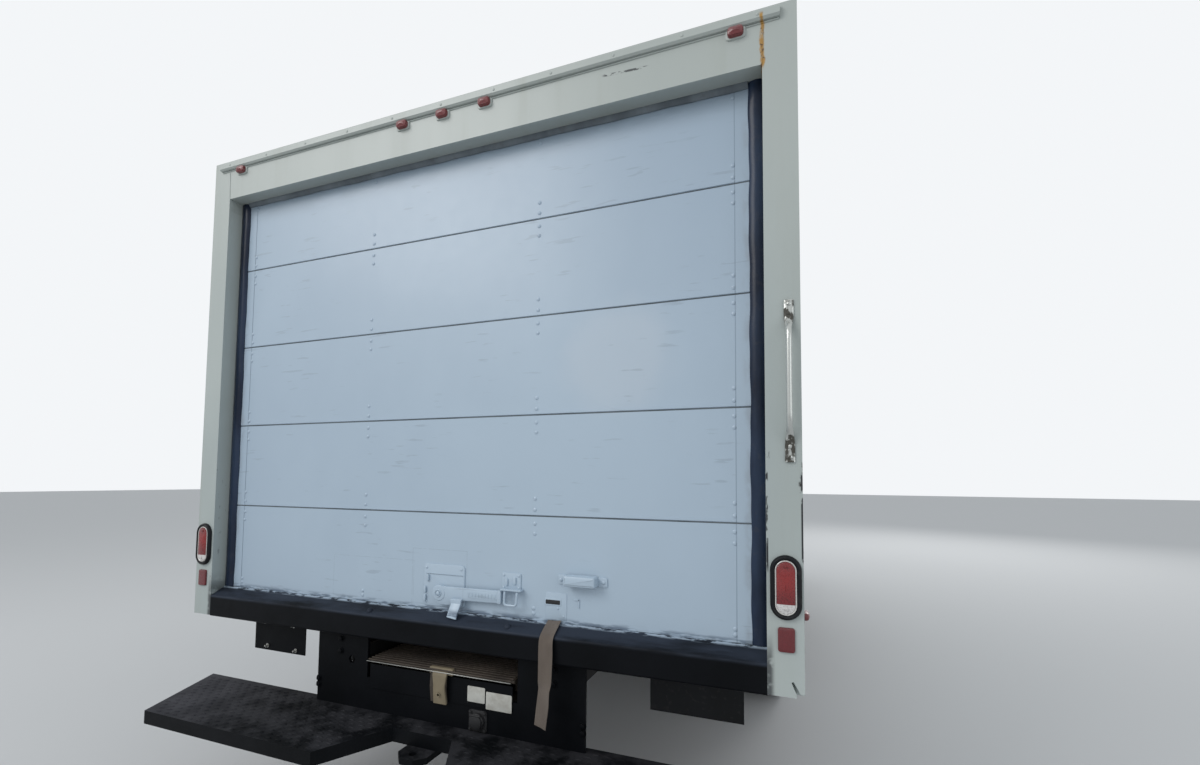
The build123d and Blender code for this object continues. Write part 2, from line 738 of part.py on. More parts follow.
def make_rear_wheels():
    """Twin rear wheels, dish to dish, with the hub and brake drum."""
    centre = Pos(dual_centre_x, rear_axle_y, wheel_radius)
    half = dual_spacing / 2
    start = axle_end_x + seat_gap - dual_centre_x
    tyres = Compound(children=[centre * make_tyre(half), centre * make_tyre(-half)])
    hub = turned([(start, 0), (start, 120), (start + 20, 160), (-150, 160), (-140, 72),
                  (10, 72), (60, 58), (60, 0)], 0, 0, 0)
    rims = make_rim(-half, 1, 0) + make_rim(half, -1, 4) + hub
    return tyres, centre * rims


def make_knuckle():
    """Forked kingpin yoke round the axle's boss, with the spindle and an arm."""
    z = wheel_radius
    x = kingpin_x
    yoke = block(x - 34, x + 48, front_axle_y - 36, front_axle_y + 36, z - 74, z + 74)
    yoke -= block(x - 60, x + 40, front_axle_y - 40, front_axle_y + 40, z - yoke_gap, z + yoke_gap)
    yoke += rod((x + 40, front_axle_y, z), (hub_face_x, front_axle_y, z), 40)
    yoke += block(x - 25, x - 5, front_axle_y - 170, front_axle_y - 20, z - 72, z - 52)
    return yoke


# Cab form: a side profile turned about a far upright axis, so that the nose and the
# windscreen are curved in plan, cut by a cross-section with its sides leaning in.

def cab_form(side, roof, nose, low):
    """Cab outline, moved in by the given walls."""
    axis_y = cab_length - plan_radius
    front = cab_length - nose
    brow = windscreen_top_y - nose * 0.8
    profile = [(-300, low), (front - 70, low), (front, 640), (front, hood_lip_z),
               (front - 19, hood_lip_z + 60 - nose * 0.3), (front - 67, hood_lip_z + 140 - nose * 0.5),
               (front - 131, hood_lip_z + 196 - nose * 0.5),
               (windscreen_foot_y - nose, cowl_z + 100 - roof), (brow, cab_roof_z - 82 - roof),
               (brow - 96, cab_roof_z - 26 - roof), (brow - 206, cab_roof_z - 4 - roof),
               (-300, cab_roof_z - roof)]
    profile = [(y - axis_y, z) for y, z in profile]
    swept = revolve(Plane.XZ * outline(profile), axis=Axis.Z, revolution_arc=50)
    swept = Pos(0, axis_y, 0) * Rot(0, 0, 90 - 25) * swept
    w = cab_half_width - side
    u = roof_half_width - side
    wing_z = cab_floor_z + 100
    section = [(-w + 40, low), (w - 40, low), (w, wing_z), (w, belt_z - 80),
               (u, cab_roof_z - 60 - roof), (u - 160, cab_roof_z + 5 - roof),
               (-u + 160, cab_roof_z + 5 - roof), (-u, cab_roof_z - 60 - roof),
               (-w, belt_z - 80), (-w, wing_z)]
    radii = [0, 0, 200, 300, 90, 0, 0, 90, 300, 200]
    across = cross_plate(section, 0, cab_length + 100, radii)
    nose_points = [(-w, 0), (w, 0), (w, front - 500), (w - 95, front + 50),
                   (-w + 95, front + 50), (-w, front - 500)]
    plan = flat_plate(nose_points, 0, cab_roof_z + 390, [0, 0, 600, 170, 170, 600])
    return swept & across & plan


def wheel_arch(radius, inner_x):
    return (Pos(inner_x + 300, axle_from_cab, wheel_radius) * Rot(0, 90, 0)
            * Cylinder(radius, 600))


def door_prism(gap):
    """Slanted prism through a cab side, along the door's outline."""
    g = gap
    points = [(door_rear_y - g, cab_bottom_z + 20 - g), (door_front_y - 130, cab_bottom_z + 20 - g),
              (door_front_y + g, cab_bottom_z + 420), (door_front_y + g, belt_z + g),
              (door_front_y - 280 + g, cab_roof_z - 150 + g), (door_front_y - 430, cab_roof_z - 100 + g),
              (door_rear_y - g, cab_roof_z - 100 + g)]
    face = Plane.YZ.offset(cab_half_width + 60) * outline(points, [30, 60, 120, 60, 90, 60, 60])
    lean = math.tan(math.radians(door_bevel))
    return extrude(face, amount=door_reach, dir=(-1, lean, 0))


def window_prism(shrink):
    s = shrink
    top = cab_roof_z - 210 - s
    points = [(door_rear_y + 90 + s, belt_z + s), (door_front_y - 140 - s, belt_z + s),
              (door_front_y - 355 - s, top), (door_rear_y + 90 + s, top)]
    face = Plane.YZ.offset(cab_half_width + 80) * outline(points, [40, 60, 70, 60])
    return extrude(face, amount=-460)


def windscreen_prism(shrink):
    s = shrink
    low, top = cowl_z + 170 + s, cab_roof_z - 120 - s
    points = [(-830 + s, low), (830 - s, low), (735 - s, top), (-735 + s, top)]
    return cross_plate(points, windscreen_top_y - 231, windscreen_foot_y + 100, [70, 70, 90, 90])


def hood_prism(gap):
    g = gap
    rear, front = windscreen_foot_y + 40 - g, cab_length - 75 + g
    points = [(-740 - g, rear), (740 + g, rear), (800 + g, front), (-800 - g, front)]
    return flat_plate(points, hood_lip_z + 100, cowl_z + 200, [40, 40, 60, 60])


def nose_slab(x0, x1, z0, z1, extra=0):
    """Box from behind the nose's skin to ahead of it."""
    return block(x0, x1, cab_length - 250 - extra, cab_length + 150 + extra, z0, z1)


def cab_slab(y0, y1, z0, z1):
    """Box that runs out past both sides of the cab."""
    return block(-2 * cab_half_width, 2 * cab_half_width, y0, y1, z0, z1)


def grille_bars():
    """Straight bars and their frame, before they are bent to the nose."""
    w = grille_half_width - seat_gap
    low, high = grille_low + seat_gap, grille_high - seat_gap
    bars = nose_slab(-w, w, low, high)
    bars -= nose_slab(-w + 34, w - 34, low + 26, high - 26, 100)
    pitch = (high - low - 52) / (grille_slots)
    for row in range(1, grille_slots):
        z = low + 26 + row * pitch
        bars += nose_slab(-w + 2, w - 2, z - 8, z + 8)
    for column in range(-2, 3):
        x = column * grille_half_width / 3
        bars += nose_slab(x - 6, x + 6, low + 2, high - 2)
    return bars


def make_cab():
    """Cab shell, hood and doors, all cut from the same form."""
    above, ahead = cab_roof_z + 390, cab_length + 150
    outer = cab_form(0, 0, 0, cab_bottom_z) - cab_slab(-400, 0, 0, above)
    inner = cab_form(cab_wall, roof_wall, 40, cab_bottom_z)
    cabin = inner & (cab_slab(50, firewall_y, cab_floor_z + 40, above)
                     + cab_slab(50, windscreen_foot_y + 20, cowl_z + 30, above))
    bay = inner & cab_slab(firewall_y + 35, ahead, 0, cowl_z)
    sill_x = cab_half_width - 72
    below = block(-sill_x, sill_x, -1, firewall_y + 40, 0, cab_floor_z)
    shell = outer - cabin - bay - below
    arch = wheel_arch(arch_radius, 520)
    shell -= arch + mirrored(arch)
    shell -= cab_slab(axle_from_cab - arch_radius, ahead, 0, nose_bottom_z)
    skin = outer - inner
    door = (skin & door_prism(0)) - window_prism(0) - wheel_arch(arch_radius + 30, 520)
    hood = skin & hood_prism(0)
    frame_cut = door_prism(panel_gap) - wheel_arch(arch_radius + 30 - panel_gap, 520)
    shell -= frame_cut + mirrored(frame_cut)
    shell -= hood_prism(panel_gap)
    shell -= windscreen_prism(0)
    grille_hole = nose_slab(-grille_half_width, grille_half_width, grille_low, grille_high)
    lamp_hole = nose_slab(lamp_inner_x, lamp_outer_x, grille_low, grille_high)
    shell -= grille_hole + lamp_hole + mirrored(lamp_hole)
    nose = cab_form(6, 6, 6, cab_bottom_z)
    grille = (nose - cab_form(6, 6, 6 + grille_depth, cab_bottom_z)) & grille_bars()
    lamp = (nose - cab_form(6, 6, 60, cab_bottom_z)) & nose_slab(
        lamp_inner_x + seat_gap, lamp_outer_x - seat_gap,
        grille_low + seat_gap, grille_high - seat_gap)
    glass_outer = cab_form(18, 18, 12, cab_bottom_z)
    glass_inner = cab_form(18 + glass_thickness, 18 + glass_thickness,
                           12 + glass_thickness, cab_bottom_z)
    glass_skin = glass_outer - glass_inner
    right_side = block(0, 2 * cab_half_width, 0, firewall_y - 30, 0, above)
    door_glass = glass_skin & window_prism(seat_gap) & right_side
    windscreen = glass_skin & windscreen_prism(seat_gap)
    return shell, hood, door, door_glass, windscreen, grille, both(lamp)


def make_front_bumper():
    """Pressed bumper with swept-back ends, on two brackets from the rails."""
    w = cab_half_width - 32
    y = bumper_reach
    half = [(500, y), (w - 80, y - 85), (w, y - 245), (w - 30, y - 265), (w - 110, y - 110),
            (500, y - 25)]
    points = half + [(-x, place) for x, place in reversed(half)]
    bumper = flat_plate(points, bumper_bottom, nose_bottom_z - 8)
    for side in (-1, 1):
        bumper += block(side * (rail_outer_x - 30), side * rail_outer_x, rail_reach + seat_gap,
                        y - 15, bumper_bottom + 35, nose_bottom_z - 40)
    return bumper


def steering_hub():
    """Plane of the steering wheel, facing the driver."""
    return Plane(origin=(-420, firewall_y - 380, belt_z - 108), x_dir=(1, 0, 0), z_dir=(0, -135, 65))


def make_dashboard():
    """Dash across the cabin and the engine cover between the seats."""
    wall = firewall_y - 10
    half = roof_half_width
    dash = side_plate([(wall - 270, 1010), (wall, 960), (wall, cowl_z + 25),
                       (wall - 190, cowl_z + 45), (wall - 290, cowl_z - 70)],
                      -half, half, [30, 0, 20, 60, 60])
    floor = cab_floor_z + 40 + seat_gap
    cover = side_plate([(wall - 680, floor), (wall, floor), (wall, 1010), (wall - 560, 960)],
                       -230, 230, [20, 0, 0, 80])
    hub = steering_hub()
    axis = hub.z_dir
    column = rod(tuple(hub.origin - axis * 220), tuple(hub.origin - axis * (18 + seat_gap)), 35)
    return dash + cover + column


def make_steering_wheel():
    plane = steering_hub()
    rim = [(171, 0), (180, -13), (193, -11), (199, 0), (193, 11), (180, 13)]
    ring = revolve(Plane.XZ * outline(rim), axis=Axis.Z)
    wheel = plane * (ring + Cylinder(52, 36))
    for angle in (30, 150, 270):
        spoke = Rot(0, 0, angle) * (Pos(110, 0, 0) * Box(150, 34, 14))
        wheel += plane * spoke
    return wheel


def make_seats():
    """Two seats: pedestal, cushion, back and head rest, as side outlines."""
    floor = cab_floor_z + 40 + seat_gap
    deck = floor + 230 + seat_gap
    top = deck + 140
    head = floor + 960
    cushion = [(205, deck), (695, deck), (700, top - 30), (640, top), (205, top)]
    back = [(215, top + seat_gap), (340, top + seat_gap), (355, top + 90), (270, head),
            (150, head)]
    rest = [(160, head + seat_gap), (240, head + seat_gap), (222, head + 190), (150, head + 190)]
    pieces = []
    for x in (-seat_x, seat_x):
        x0, x1 = x - seat_half_width, x + seat_half_width
        pieces.append(block(x0 + 45, x1 - 45, 225, 625, floor, floor + 230))
        pieces.append(side_plate(cushion, x0, x1, [20, 20, 40, 60, 0]))
        pieces.append(side_plate(back, x0, x1, [0, 0, 60, 40, 40]))
        pieces.append(side_plate(rest, x - 120, x + 120, [0, 0, 30, 30]))
    return Compound(children=pieces)


def make_mirror():
    """Door mirror on two arms and an upright bar."""
    x = cab_half_width + mirror_reach
    y, z = door_front_y - 50, belt_z
    arm = rod((cab_half_width - 52, y - 70, z - 60), (x, y, z - 20), 12)
    arm += rod((cab_half_width - 82, y - 120, z + 230), (x, y, z + 230), 12)
    arm += rod((x, y, z - 30), (x, y, z + 250), 12)
    head = block(x - 40, x + 150, y - 30, y + 30, z, z + 350)
    head = fillet(head.edges().filter_by(Axis.Y), 30)
    return arm + head - cab_form(-seat_gap, -seat_gap, -seat_gap, cab_bottom_z)


os.makedirs("parts", exist_ok=True)

cab_place = Pos(0, cab_back_y, 0)
shell, hood, door, door_glass, windscreen, grille, headlamps = [cab_place * piece
                                                               for piece in make_cab()]
front_tyre, front_rim = make_front_wheel()
rear_tyres, rear_rims = make_rear_wheels()
knuckle = make_knuckle()
mirror_head = cab_place * make_mirror()
box_side = make_box_side()

parts = {
    "chassis_frame": make_chassis_frame(),
    "engine_block": make_engine_block(),
    "rear_axle": make_rear_axle(),
    "rear_springs": make_rear_springs(),
    "front_axle": make_front_axle(),
    "fuel_tank": make_fuel_tank(),
    "exhaust": make_exhaust(),
    "cab_shell": shell,
    "windscreen": windscreen,
    "hood": hood,
    "grille": grille,
    "headlamps": headlamps,
    "front_bumper": cab_place * make_front_bumper(),
    "dashboard": cab_place * make_dashboard(),
    "steering_wheel": cab_place * make_steering_wheel(),
    "seats": cab_place * make_seats(),
    "cab_door_right": door,
    "cab_door_left": mirrored(door),
    "door_glass_right": door_glass,
    "door_glass_left": mirrored(door_glass),
    "mirror_right": mirror_head,
    "mirror_left": mirrored(mirror_head),
    "box_floor": make_box_floor(),
    "crossmembers": make_crossmembers(),
    "box_side_right": box_side,
    "box_side_left": mirrored(box_side),
    "box_front_wall": make_box_front_wall(),
    "box_roof": make_box_roof(),
    "rear_frame": make_rear_frame(),
    "rear_sill": make_rear_sill(),
    "roll_door": make_roll_door(),
    "door_seals": make_door_seals(),
    "door_latch": make_door_latch(),
    "latch_keeper": make_latch_keeper(),
    "lift_handle": make_lift_handle(),
    "lamp_rings": make_lamp_rings(),
    "lamp_lenses": make_lamp_lenses(),
    "grab_handle": make_grab_handle(),
    "ramp": make_ramp(),
    "step_bumper": make_step_bumper(),
    "plate_bracket": make_plate_bracket(),
    "mud_flaps": make_mud_flaps(),
    "pull_strap": make_pull_strap(),
    "knuckle_right": knuckle,
    "knuckle_left": mirrored(knuckle),
    "front_tyre_right": front_tyre,
    "front_tyre_left": mirrored(front_tyre),
    "front_rim_right": front_rim,
    "front_rim_left": mirrored(front_rim),
    "rear_tyres_right": rear_tyres,
    "rear_tyres_left": mirrored(rear_tyres),
    "rear_rims_right": rear_rims,
    "rear_rims_left": mirrored(rear_rims),
}

footprint_middle = (step_rear_y + front_y) / 2
for name, shape in parts.items():
    solids = [Pos(0, -footprint_middle, 0) * solid for solid in shape.solids()]
    export_step(solids[0] if len(solids) == 1 else Compound(children=solids), f"parts/{name}.step")
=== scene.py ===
# %% [markdown]
# # A box truck, dressed around its measured frame
# The solids of the truck come in as a fixed frame at their real size, in metres, with +Y forward and the
# ground at Z = 0. Nothing here moves or resizes them. Each cell gives one piece or one finish: what it is on
# the real truck, how it could be made, and why this way was chosen.

# %% Load the frame
import json
import math
import bmesh
import bpy
import numpy as np
from mathutils import Matrix, Vector
from mathutils.bvhtree import BVHTree


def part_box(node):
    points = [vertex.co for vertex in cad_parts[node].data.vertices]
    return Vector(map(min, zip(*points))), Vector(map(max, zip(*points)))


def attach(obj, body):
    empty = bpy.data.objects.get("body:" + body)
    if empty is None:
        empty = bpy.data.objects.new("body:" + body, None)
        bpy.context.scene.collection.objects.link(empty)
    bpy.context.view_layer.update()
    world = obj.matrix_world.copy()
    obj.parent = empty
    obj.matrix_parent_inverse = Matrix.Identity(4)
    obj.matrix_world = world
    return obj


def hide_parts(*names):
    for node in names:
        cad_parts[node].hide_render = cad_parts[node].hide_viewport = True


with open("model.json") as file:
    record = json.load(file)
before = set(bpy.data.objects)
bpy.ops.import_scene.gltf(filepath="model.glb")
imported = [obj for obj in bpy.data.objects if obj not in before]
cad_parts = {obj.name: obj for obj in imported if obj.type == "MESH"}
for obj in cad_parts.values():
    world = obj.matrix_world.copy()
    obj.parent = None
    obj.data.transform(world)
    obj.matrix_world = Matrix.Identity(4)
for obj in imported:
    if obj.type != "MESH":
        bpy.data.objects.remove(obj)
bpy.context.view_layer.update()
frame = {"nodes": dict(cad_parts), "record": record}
nodes = frame["nodes"]

# %% [markdown]
# Most small things sit on the back of the body, so places are given as a fitter would measure them:
# millimetres from the middle of the back, forward from its rear face, and up from the foot of the posts.
# One function turns them into the frame's metres, and the numbers it needs are read from the frame.

# %% Places on the back of the body
MM = 0.001
REAR_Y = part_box("rear_sill")[0].y
FOOT_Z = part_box("rear_frame")[0].z
HALF_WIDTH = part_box("rear_frame")[1].x
SILL_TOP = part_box("rear_sill")[1].z
DOOR_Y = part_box("roll_door")[0].y
DOOR_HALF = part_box("roll_door")[1].x
DOOR_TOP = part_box("roll_door")[1].z
POST_WIDTH = 0.103
WHEEL_Z = (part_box("front_rim_right")[0].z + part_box("front_rim_right")[1].z) / 2
FRONT_Y = (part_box("front_rim_right")[0].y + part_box("front_rim_right")[1].y) / 2
BACK_Y = (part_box("rear_rims_right")[0].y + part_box("rear_rims_right")[1].y) / 2
TRUCK = "truck"
SIDES = ("right", "left")


def spot(x, y, z):
    """Millimetres right, forward of the rear face and above the posts' foot, as frame metres."""
    return np.array([x * MM, REAR_Y + y * MM, FOOT_Z + z * MM])


print("rear face at", round(REAR_Y, 4), "posts' foot at", round(FOOT_Z, 3))

# %% [markdown]
# ## Camera, floor and light
# The camera stands where the photographer stood: close behind the right rear corner, just inside the line
# of the body's side, at the height of a raised hand, with a very wide lens. Its place and turn were worked
# out from the edges of the rear face. The photograph is taken as a 4:3 frame with its lowest rows cut off,
# so the lens's axis meets it below its middle, and the camera's shift is half of those rows. Its axes are
# built from yaw, pitch and roll, because that is how a camera is aimed, and go straight into its matrix.

# %% Camera
EYE = spot(1280.0, -1650.0, 621.2)
YAW, PITCH, ROLL = (math.radians(a) for a in (20.41, 3.16, 0.5))
LENS, SENSOR_WIDTH = 15.88, 36.0
FAR_CLIP = 200.0
FRAME_WIDTH, FRAME_HEIGHT = 1200, 765
ROWS_CUT_OFF = FRAME_WIDTH * 3 / 4 - FRAME_HEIGHT

ahead = Vector((-math.sin(YAW) * math.cos(PITCH), math.cos(YAW) * math.cos(PITCH), math.sin(PITCH)))
level = Vector((math.cos(YAW), math.sin(YAW), 0))
upright = level.cross(ahead)
right = math.cos(ROLL) * level + math.sin(ROLL) * upright
up = math.cos(ROLL) * upright - math.sin(ROLL) * level
camera_data = bpy.data.cameras.new("camera")
camera_data.lens, camera_data.sensor_width, camera_data.clip_end = LENS, SENSOR_WIDTH, FAR_CLIP
camera_data.shift_y = ROWS_CUT_OFF / 2 / FRAME_WIDTH
camera = bpy.data.objects.new("camera", camera_data)
camera.matrix_world = Matrix.Translation(EYE) @ Matrix((right, up, -ahead)).transposed().to_4x4()
bpy.context.scene.collection.objects.link(camera)
bpy.context.scene.camera = camera
print("camera at", [round(c, 3) for c in EYE])

# %% [markdown]
# Light first, because every finish is judged in it. A white sky alone shows a colour about as it is
# written, but flat. So the sky is a little weaker, and three big soft panels add direction: one high on the
# left behind the camera, one low on the right, and one above the bonnet for views from the front. The sky
# looks white to the camera and through glass, by Light Path, and the floor is pale.

# %% Sky, lamps and floor
SKY_LIGHT = 0.76
PALE = (0.52, 0.53, 0.54, 1)

scene = bpy.context.scene
scene.view_settings.view_transform = "Standard"
scene.world = bpy.data.worlds.new("sky")
scene.world.use_nodes = True
sky = scene.world.node_tree
sky.nodes.clear()
path = sky.nodes.new("ShaderNodeLightPath")
seen = sky.nodes.new("ShaderNodeMath")
seen.operation = "MAXIMUM"
sky.links.new(path.outputs["Is Camera Ray"], seen.inputs[0])
sky.links.new(path.outputs["Is Transmission Ray"], seen.inputs[1])
glow = sky.nodes.new("ShaderNodeBackground")
glow.inputs["Color"].default_value = (0.93, 0.97, 1.0, 1)
glow.inputs["Strength"].default_value = SKY_LIGHT
white = sky.nodes.new("ShaderNodeBackground")
white.inputs["Color"].default_value = (0.90, 0.92, 0.94, 1)
white.inputs["Strength"].default_value = 1.0
choose = sky.nodes.new("ShaderNodeMixShader")
out = sky.nodes.new("ShaderNodeOutputWorld")
sky.links.new(seen.outputs[0], choose.inputs[0])
sky.links.new(glow.outputs[0], choose.inputs[1])
sky.links.new(white.outputs[0], choose.inputs[2])
sky.links.new(choose.outputs[0], out.inputs[0])

SOFT_LAMPS = {
    # name: (place, what it faces, side, power, colour)
    "key": ((-5.0, -10.0, 7.5), (0.0, -3.0, 1.4), 5.0, 400.0, (1.0, 0.985, 0.97)),
    "fill": ((7.5, -6.5, 3.0), (0.6, -2.0, 1.2), 4.0, 60.0, (0.94, 0.97, 1.0)),
    "nose": ((5.0, 10.0, 7.0), (0.0, 2.5, 1.2), 5.0, 330.0, (1.0, 0.99, 0.97)),
}
for name, (place, target, side, power, tint) in SOFT_LAMPS.items():
    lamp = bpy.data.lights.new(name, "AREA")
    lamp.shape, lamp.size, lamp.energy, lamp.color = "SQUARE", side, power, tint
    holder = bpy.data.objects.new(name, lamp)
    aim = (Vector(target) - Vector(place)).to_track_quat("-Z", "Y")
    holder.matrix_world = Matrix.Translation(place) @ aim.to_matrix().to_4x4()
    scene.collection.objects.link(holder)

floor_mesh = bpy.data.meshes.new("floor")
floor_mesh.from_pydata([(-60, -60, 0), (60, -60, 0), (60, 60, 0), (-60, 60, 0)], [], [(0, 1, 2, 3)])
floor = bpy.data.objects.new("floor", floor_mesh)
scene.collection.objects.link(floor)
print("lamps", list(SOFT_LAMPS))

# %% [markdown]
# ## Writing finishes as sums
# A finish is a small calculation: a base colour, plus dust where the surface looks up, minus paint where an
# edge has worn. Written as nodes by hand that is hard to read, so one class wraps a socket and gives it
# plus, minus and times, and one method adds any other node.

# %% Shader maths
class Wire:
    """One value on its way through a finish."""

    def __init__(self, finish, socket):
        self.finish, self.socket = finish, socket

    def sum_of(self, operation, first, second):
        return self.finish.add("Math", {"operation": operation}, {0: first, 1: second})

    def __add__(self, other):
        return self.sum_of("ADD", self, other)

    __radd__ = __add__

    def __sub__(self, other):
        return self.sum_of("SUBTRACT", self, other)

    def __rsub__(self, other):
        return self.sum_of("SUBTRACT", other, self)

    def __mul__(self, other):
        return self.sum_of("MULTIPLY", self, other)

    __rmul__ = __mul__

    def __or__(self, other):
        """The larger of two masks."""
        return self.sum_of("MAXIMUM", self, other)

    def of(self, operation):
        """A sine, a root, a floor or another function of one value."""
        return self.finish.add("Math", {"operation": operation}, {0: self})

    def __abs__(self):
        return self.of("ABSOLUTE")

    def over(self, edge, soft):
        """0 below the edge, 1 above it, with a smooth step of the given half width."""
        return self.finish.add("MapRange", {"interpolation_type": "SMOOTHSTEP"},
                               {"Value": self, "From Min": edge - soft, "From Max": edge + soft})

    def between(self, low, high, soft):
        """1 between two edges and 0 outside."""
        return self.over(low, soft) * (1 - self.over(high, soft))

# %% [markdown]
# Colours are written as they look on a screen, and `tone` turns them into the linear values of light.

# %% Colours
def tone(red, green, blue):
    """A colour named by its 8-bit values on a screen, as the linear values that a shader wants."""
    parts = [c / 255 for c in (red, green, blue)]
    return tuple(c / 12.92 if c <= 0.04045 else ((c + 0.055) / 1.055) ** 2.4 for c in parts)


print("a pale blue white in linear values:", [round(c, 3) for c in tone(168, 184, 198)])

# %% [markdown]
# A finish starts with a first colour, and each layer over it is a mask and a colour: road film, rust, chips.
# Every finish keeps itself under its name, so a piece can ask for it later.

# %% Finishes
finishes = {}


class Finish:
    """A material built round one Principled shader, kept under its name in the list of finishes."""

    def __init__(self, name):
        finishes[name] = self
        print("finish:", name)
        self.material = bpy.data.materials.new(name)
        self.material.use_nodes = True
        self.tree = self.material.node_tree
        self.shader = self.tree.nodes["Principled BSDF"]
        self.coords = self.add("TexCoord", {}, {}, "Object")

    def add(self, kind, settings, inputs, output=0):
        """Adds one node: its settings first, then its inputs as numbers, colours or wires."""
        node = self.tree.nodes.new("ShaderNode" + kind)
        for name, value in settings.items():
            setattr(node, name, value)
        for name, value in inputs.items():
            self.plug(node.inputs[name], value)
        return Wire(self, node.outputs[output])

    def plug(self, socket, value):
        """Links a wire to a socket, or writes a number or colour into it."""
        if isinstance(value, Wire):
            self.tree.links.new(value.socket, socket)
        elif socket.type == "RGBA" and len(value) == 3:
            socket.default_value = (*value, 1)
        else:
            socket.default_value = value

    def set(self, **sockets):
        """Values or wires of the shader's own sockets; an underscore stands for a space."""
        for name, value in sockets.items():
            self.plug(self.shader.inputs[name.replace("_", " ")], value)
        return self

    def axis(self, name):
        """One coordinate, in metres of the frame."""
        return self.add("SeparateXYZ", {}, {0: self.coords}, name)

    def noise(self, scale, stretch=(1, 1, 1), detail=3, rough=0.55):
        """Cloudy noise from 0 to 1; a stretch below 1 draws it out along that axis."""
        vector = self.add("Mapping", {}, {"Vector": self.coords, "Scale": stretch})
        return self.add("TexNoise", {}, {"Vector": vector, "Scale": scale, "Detail": detail,
                                         "Roughness": rough})

    def cells(self, scale):
        """Distance from the middle of the nearest cell, for prisms and leather grain."""
        return self.add("TexVoronoi", {"feature": "F1"}, {"Vector": self.coords, "Scale": scale}, "Distance")

    def mix(self, factor, first, second):
        """Colour between two colours, each a wire or 8-bit values on a screen."""
        node = self.tree.nodes.new("ShaderNodeMix")
        node.data_type = "RGBA"
        self.plug(node.inputs[0], factor)
        for socket, colour in ((node.inputs[6], first), (node.inputs[7], second)):
            self.plug(socket, colour if isinstance(colour, Wire) else tone(*colour))
        return Wire(self, node.outputs[2])

    def layer(self, mask, colour):
        """Puts a colour over what is there, as strong as a mask from 0 to 1."""
        self.colour = self.mix(mask, self.colour, colour)

    def bump(self, height, depth, strength=1.0):
        """Raises the surface by a height from 0 to 1 times a depth in metres."""
        normal = self.add("Bump", {}, {"Height": height, "Distance": depth, "Strength": strength})
        return self.set(Normal=normal)

    def facing_up(self):
        """1 where the surface looks at the sky, 0 on walls."""
        normal = self.add("NewGeometry", {}, {}, "Normal")
        return self.add("SeparateXYZ", {}, {0: normal}, "Z").over(0.55, 0.3)

# %% [markdown]
# ## Paint
# The door was rolled over with a cold white that dried with a faint orange peel. It carries old sign
# shadows, scuffs beside the latch, and a band of grey overspray along the sill. Its upper half and a band
# under the head strip are darkened with painted shade, and a soft, lighter round patch is a painted
# reflection. All of these are masks on the frame's own coordinates, so they stay on the door at any camera,
# and no picture is needed.

# %% Door paint
def outline_of(x, z, box, line):
    """Thin outline of a rectangle (x0, x1, z0, z1): the larger one minus the smaller one."""
    x0, x1, z0, z1 = box
    soft = line * 0.4
    whole = x.between(x0, x1, soft) * z.between(z0, z1, soft)
    inside = x.between(x0 + line, x1 - line, soft) * z.between(z0 + line, z1 - line, soft)
    return whole - inside


END_STRIP_X = 1.100
# (x0, x1, z0, z1) of a repainted patch, and of the one behind the latch
PATCH = (-0.55, -0.137, FOOT_Z + 0.13, FOOT_Z + 0.297)
LATCH_PATCH = (-0.145, 0.108, FOOT_Z + 0.122, FOOT_Z + 0.345)

f = Finish("door_paint")
x, z = f.axis("X"), f.axis("Z")
clouds = f.noise(1.1, (1, 1, 0.6), 4)
fine = f.noise(26)
f.colour = f.mix(clouds.over(0.5, 0.22), (161, 178, 194), (170, 187, 202))
# Painted shade: the door is painted darker towards its top, as if the header shades it.
shade = z.over(FOOT_Z + 1.5, 0.5)
f.layer(shade * 0.4, (140, 158, 176))
joint = (abs(x) - END_STRIP_X).between(-0.0016, 0.0016, 0.0008)
f.layer(joint * 0.55, (110, 126, 142))
# Painted reflection: a soft, lighter round patch on the right half of the door.
painted_reflection = f.add("VectorMath", {"operation": "DISTANCE"},
             {0: f.coords, 1: tuple(spot(700, 71, 1040))}, "Value")
ragged_reflection = painted_reflection + f.noise(6) * 0.14
f.layer((1 - ragged_reflection.over(0.25, 0.06)) * 0.4, (184, 194, 204))
patches = outline_of(x, z, PATCH, 0.0016) * 0.5
patches = patches | outline_of(x, z, LATCH_PATCH, 0.002) * 0.45
patches = patches * f.noise(40).over(0.42, 0.08)
f.layer(patches * 0.6, (104, 118, 132))
drag = f.noise(60, (0.12, 1, 1), 2).over(0.66, 0.03) * f.noise(3).over(0.52, 0.05)
f.layer(drag * 0.3, (128, 140, 152))
sill_band = (1 - z.over(SILL_TOP + 0.012, 0.01)) * f.noise(60, (0.25, 1, 1.4)).over(0.5, 0.1)
f.layer(sill_band * 0.75, (58, 74, 96))
# Painted shade: a darker, patchy band along the top of the door, just under the head strip.
painted_head_shade = z.over(DOOR_TOP - 0.105, 0.05) * f.noise(24, (0.25, 1, 1)).over(0.35, 0.2)
f.layer(painted_head_shade * 0.5, (120, 134, 146))
edge_band = abs(x).over(DOOR_HALF - 0.045, 0.012) * f.noise(18, (1, 1, 0.5)).over(0.55, 0.1)
f.layer(edge_band * 0.45, (142, 150, 160))
f.set(Base_Color=f.colour, Roughness=0.34 + fine * 0.12, Coat_Weight=0.15, Coat_Roughness=0.2)
peel = f.noise(210, detail=2)
waves = f.noise(2.3, (1, 1, 1.3), 2)
f.bump(peel * 0.25 + waves * 6.0 + drag * 0.3, 0.0006, 0.5)

# %% [markdown]
# The frame round the door is older: a warmer, greener white, chipped to black along its edges where hooks
# and straps have hit it, with a run of rust out of the weld beside the header. A chip is noise pushed over
# a threshold, and the threshold drops close to an edge, so chips gather there.

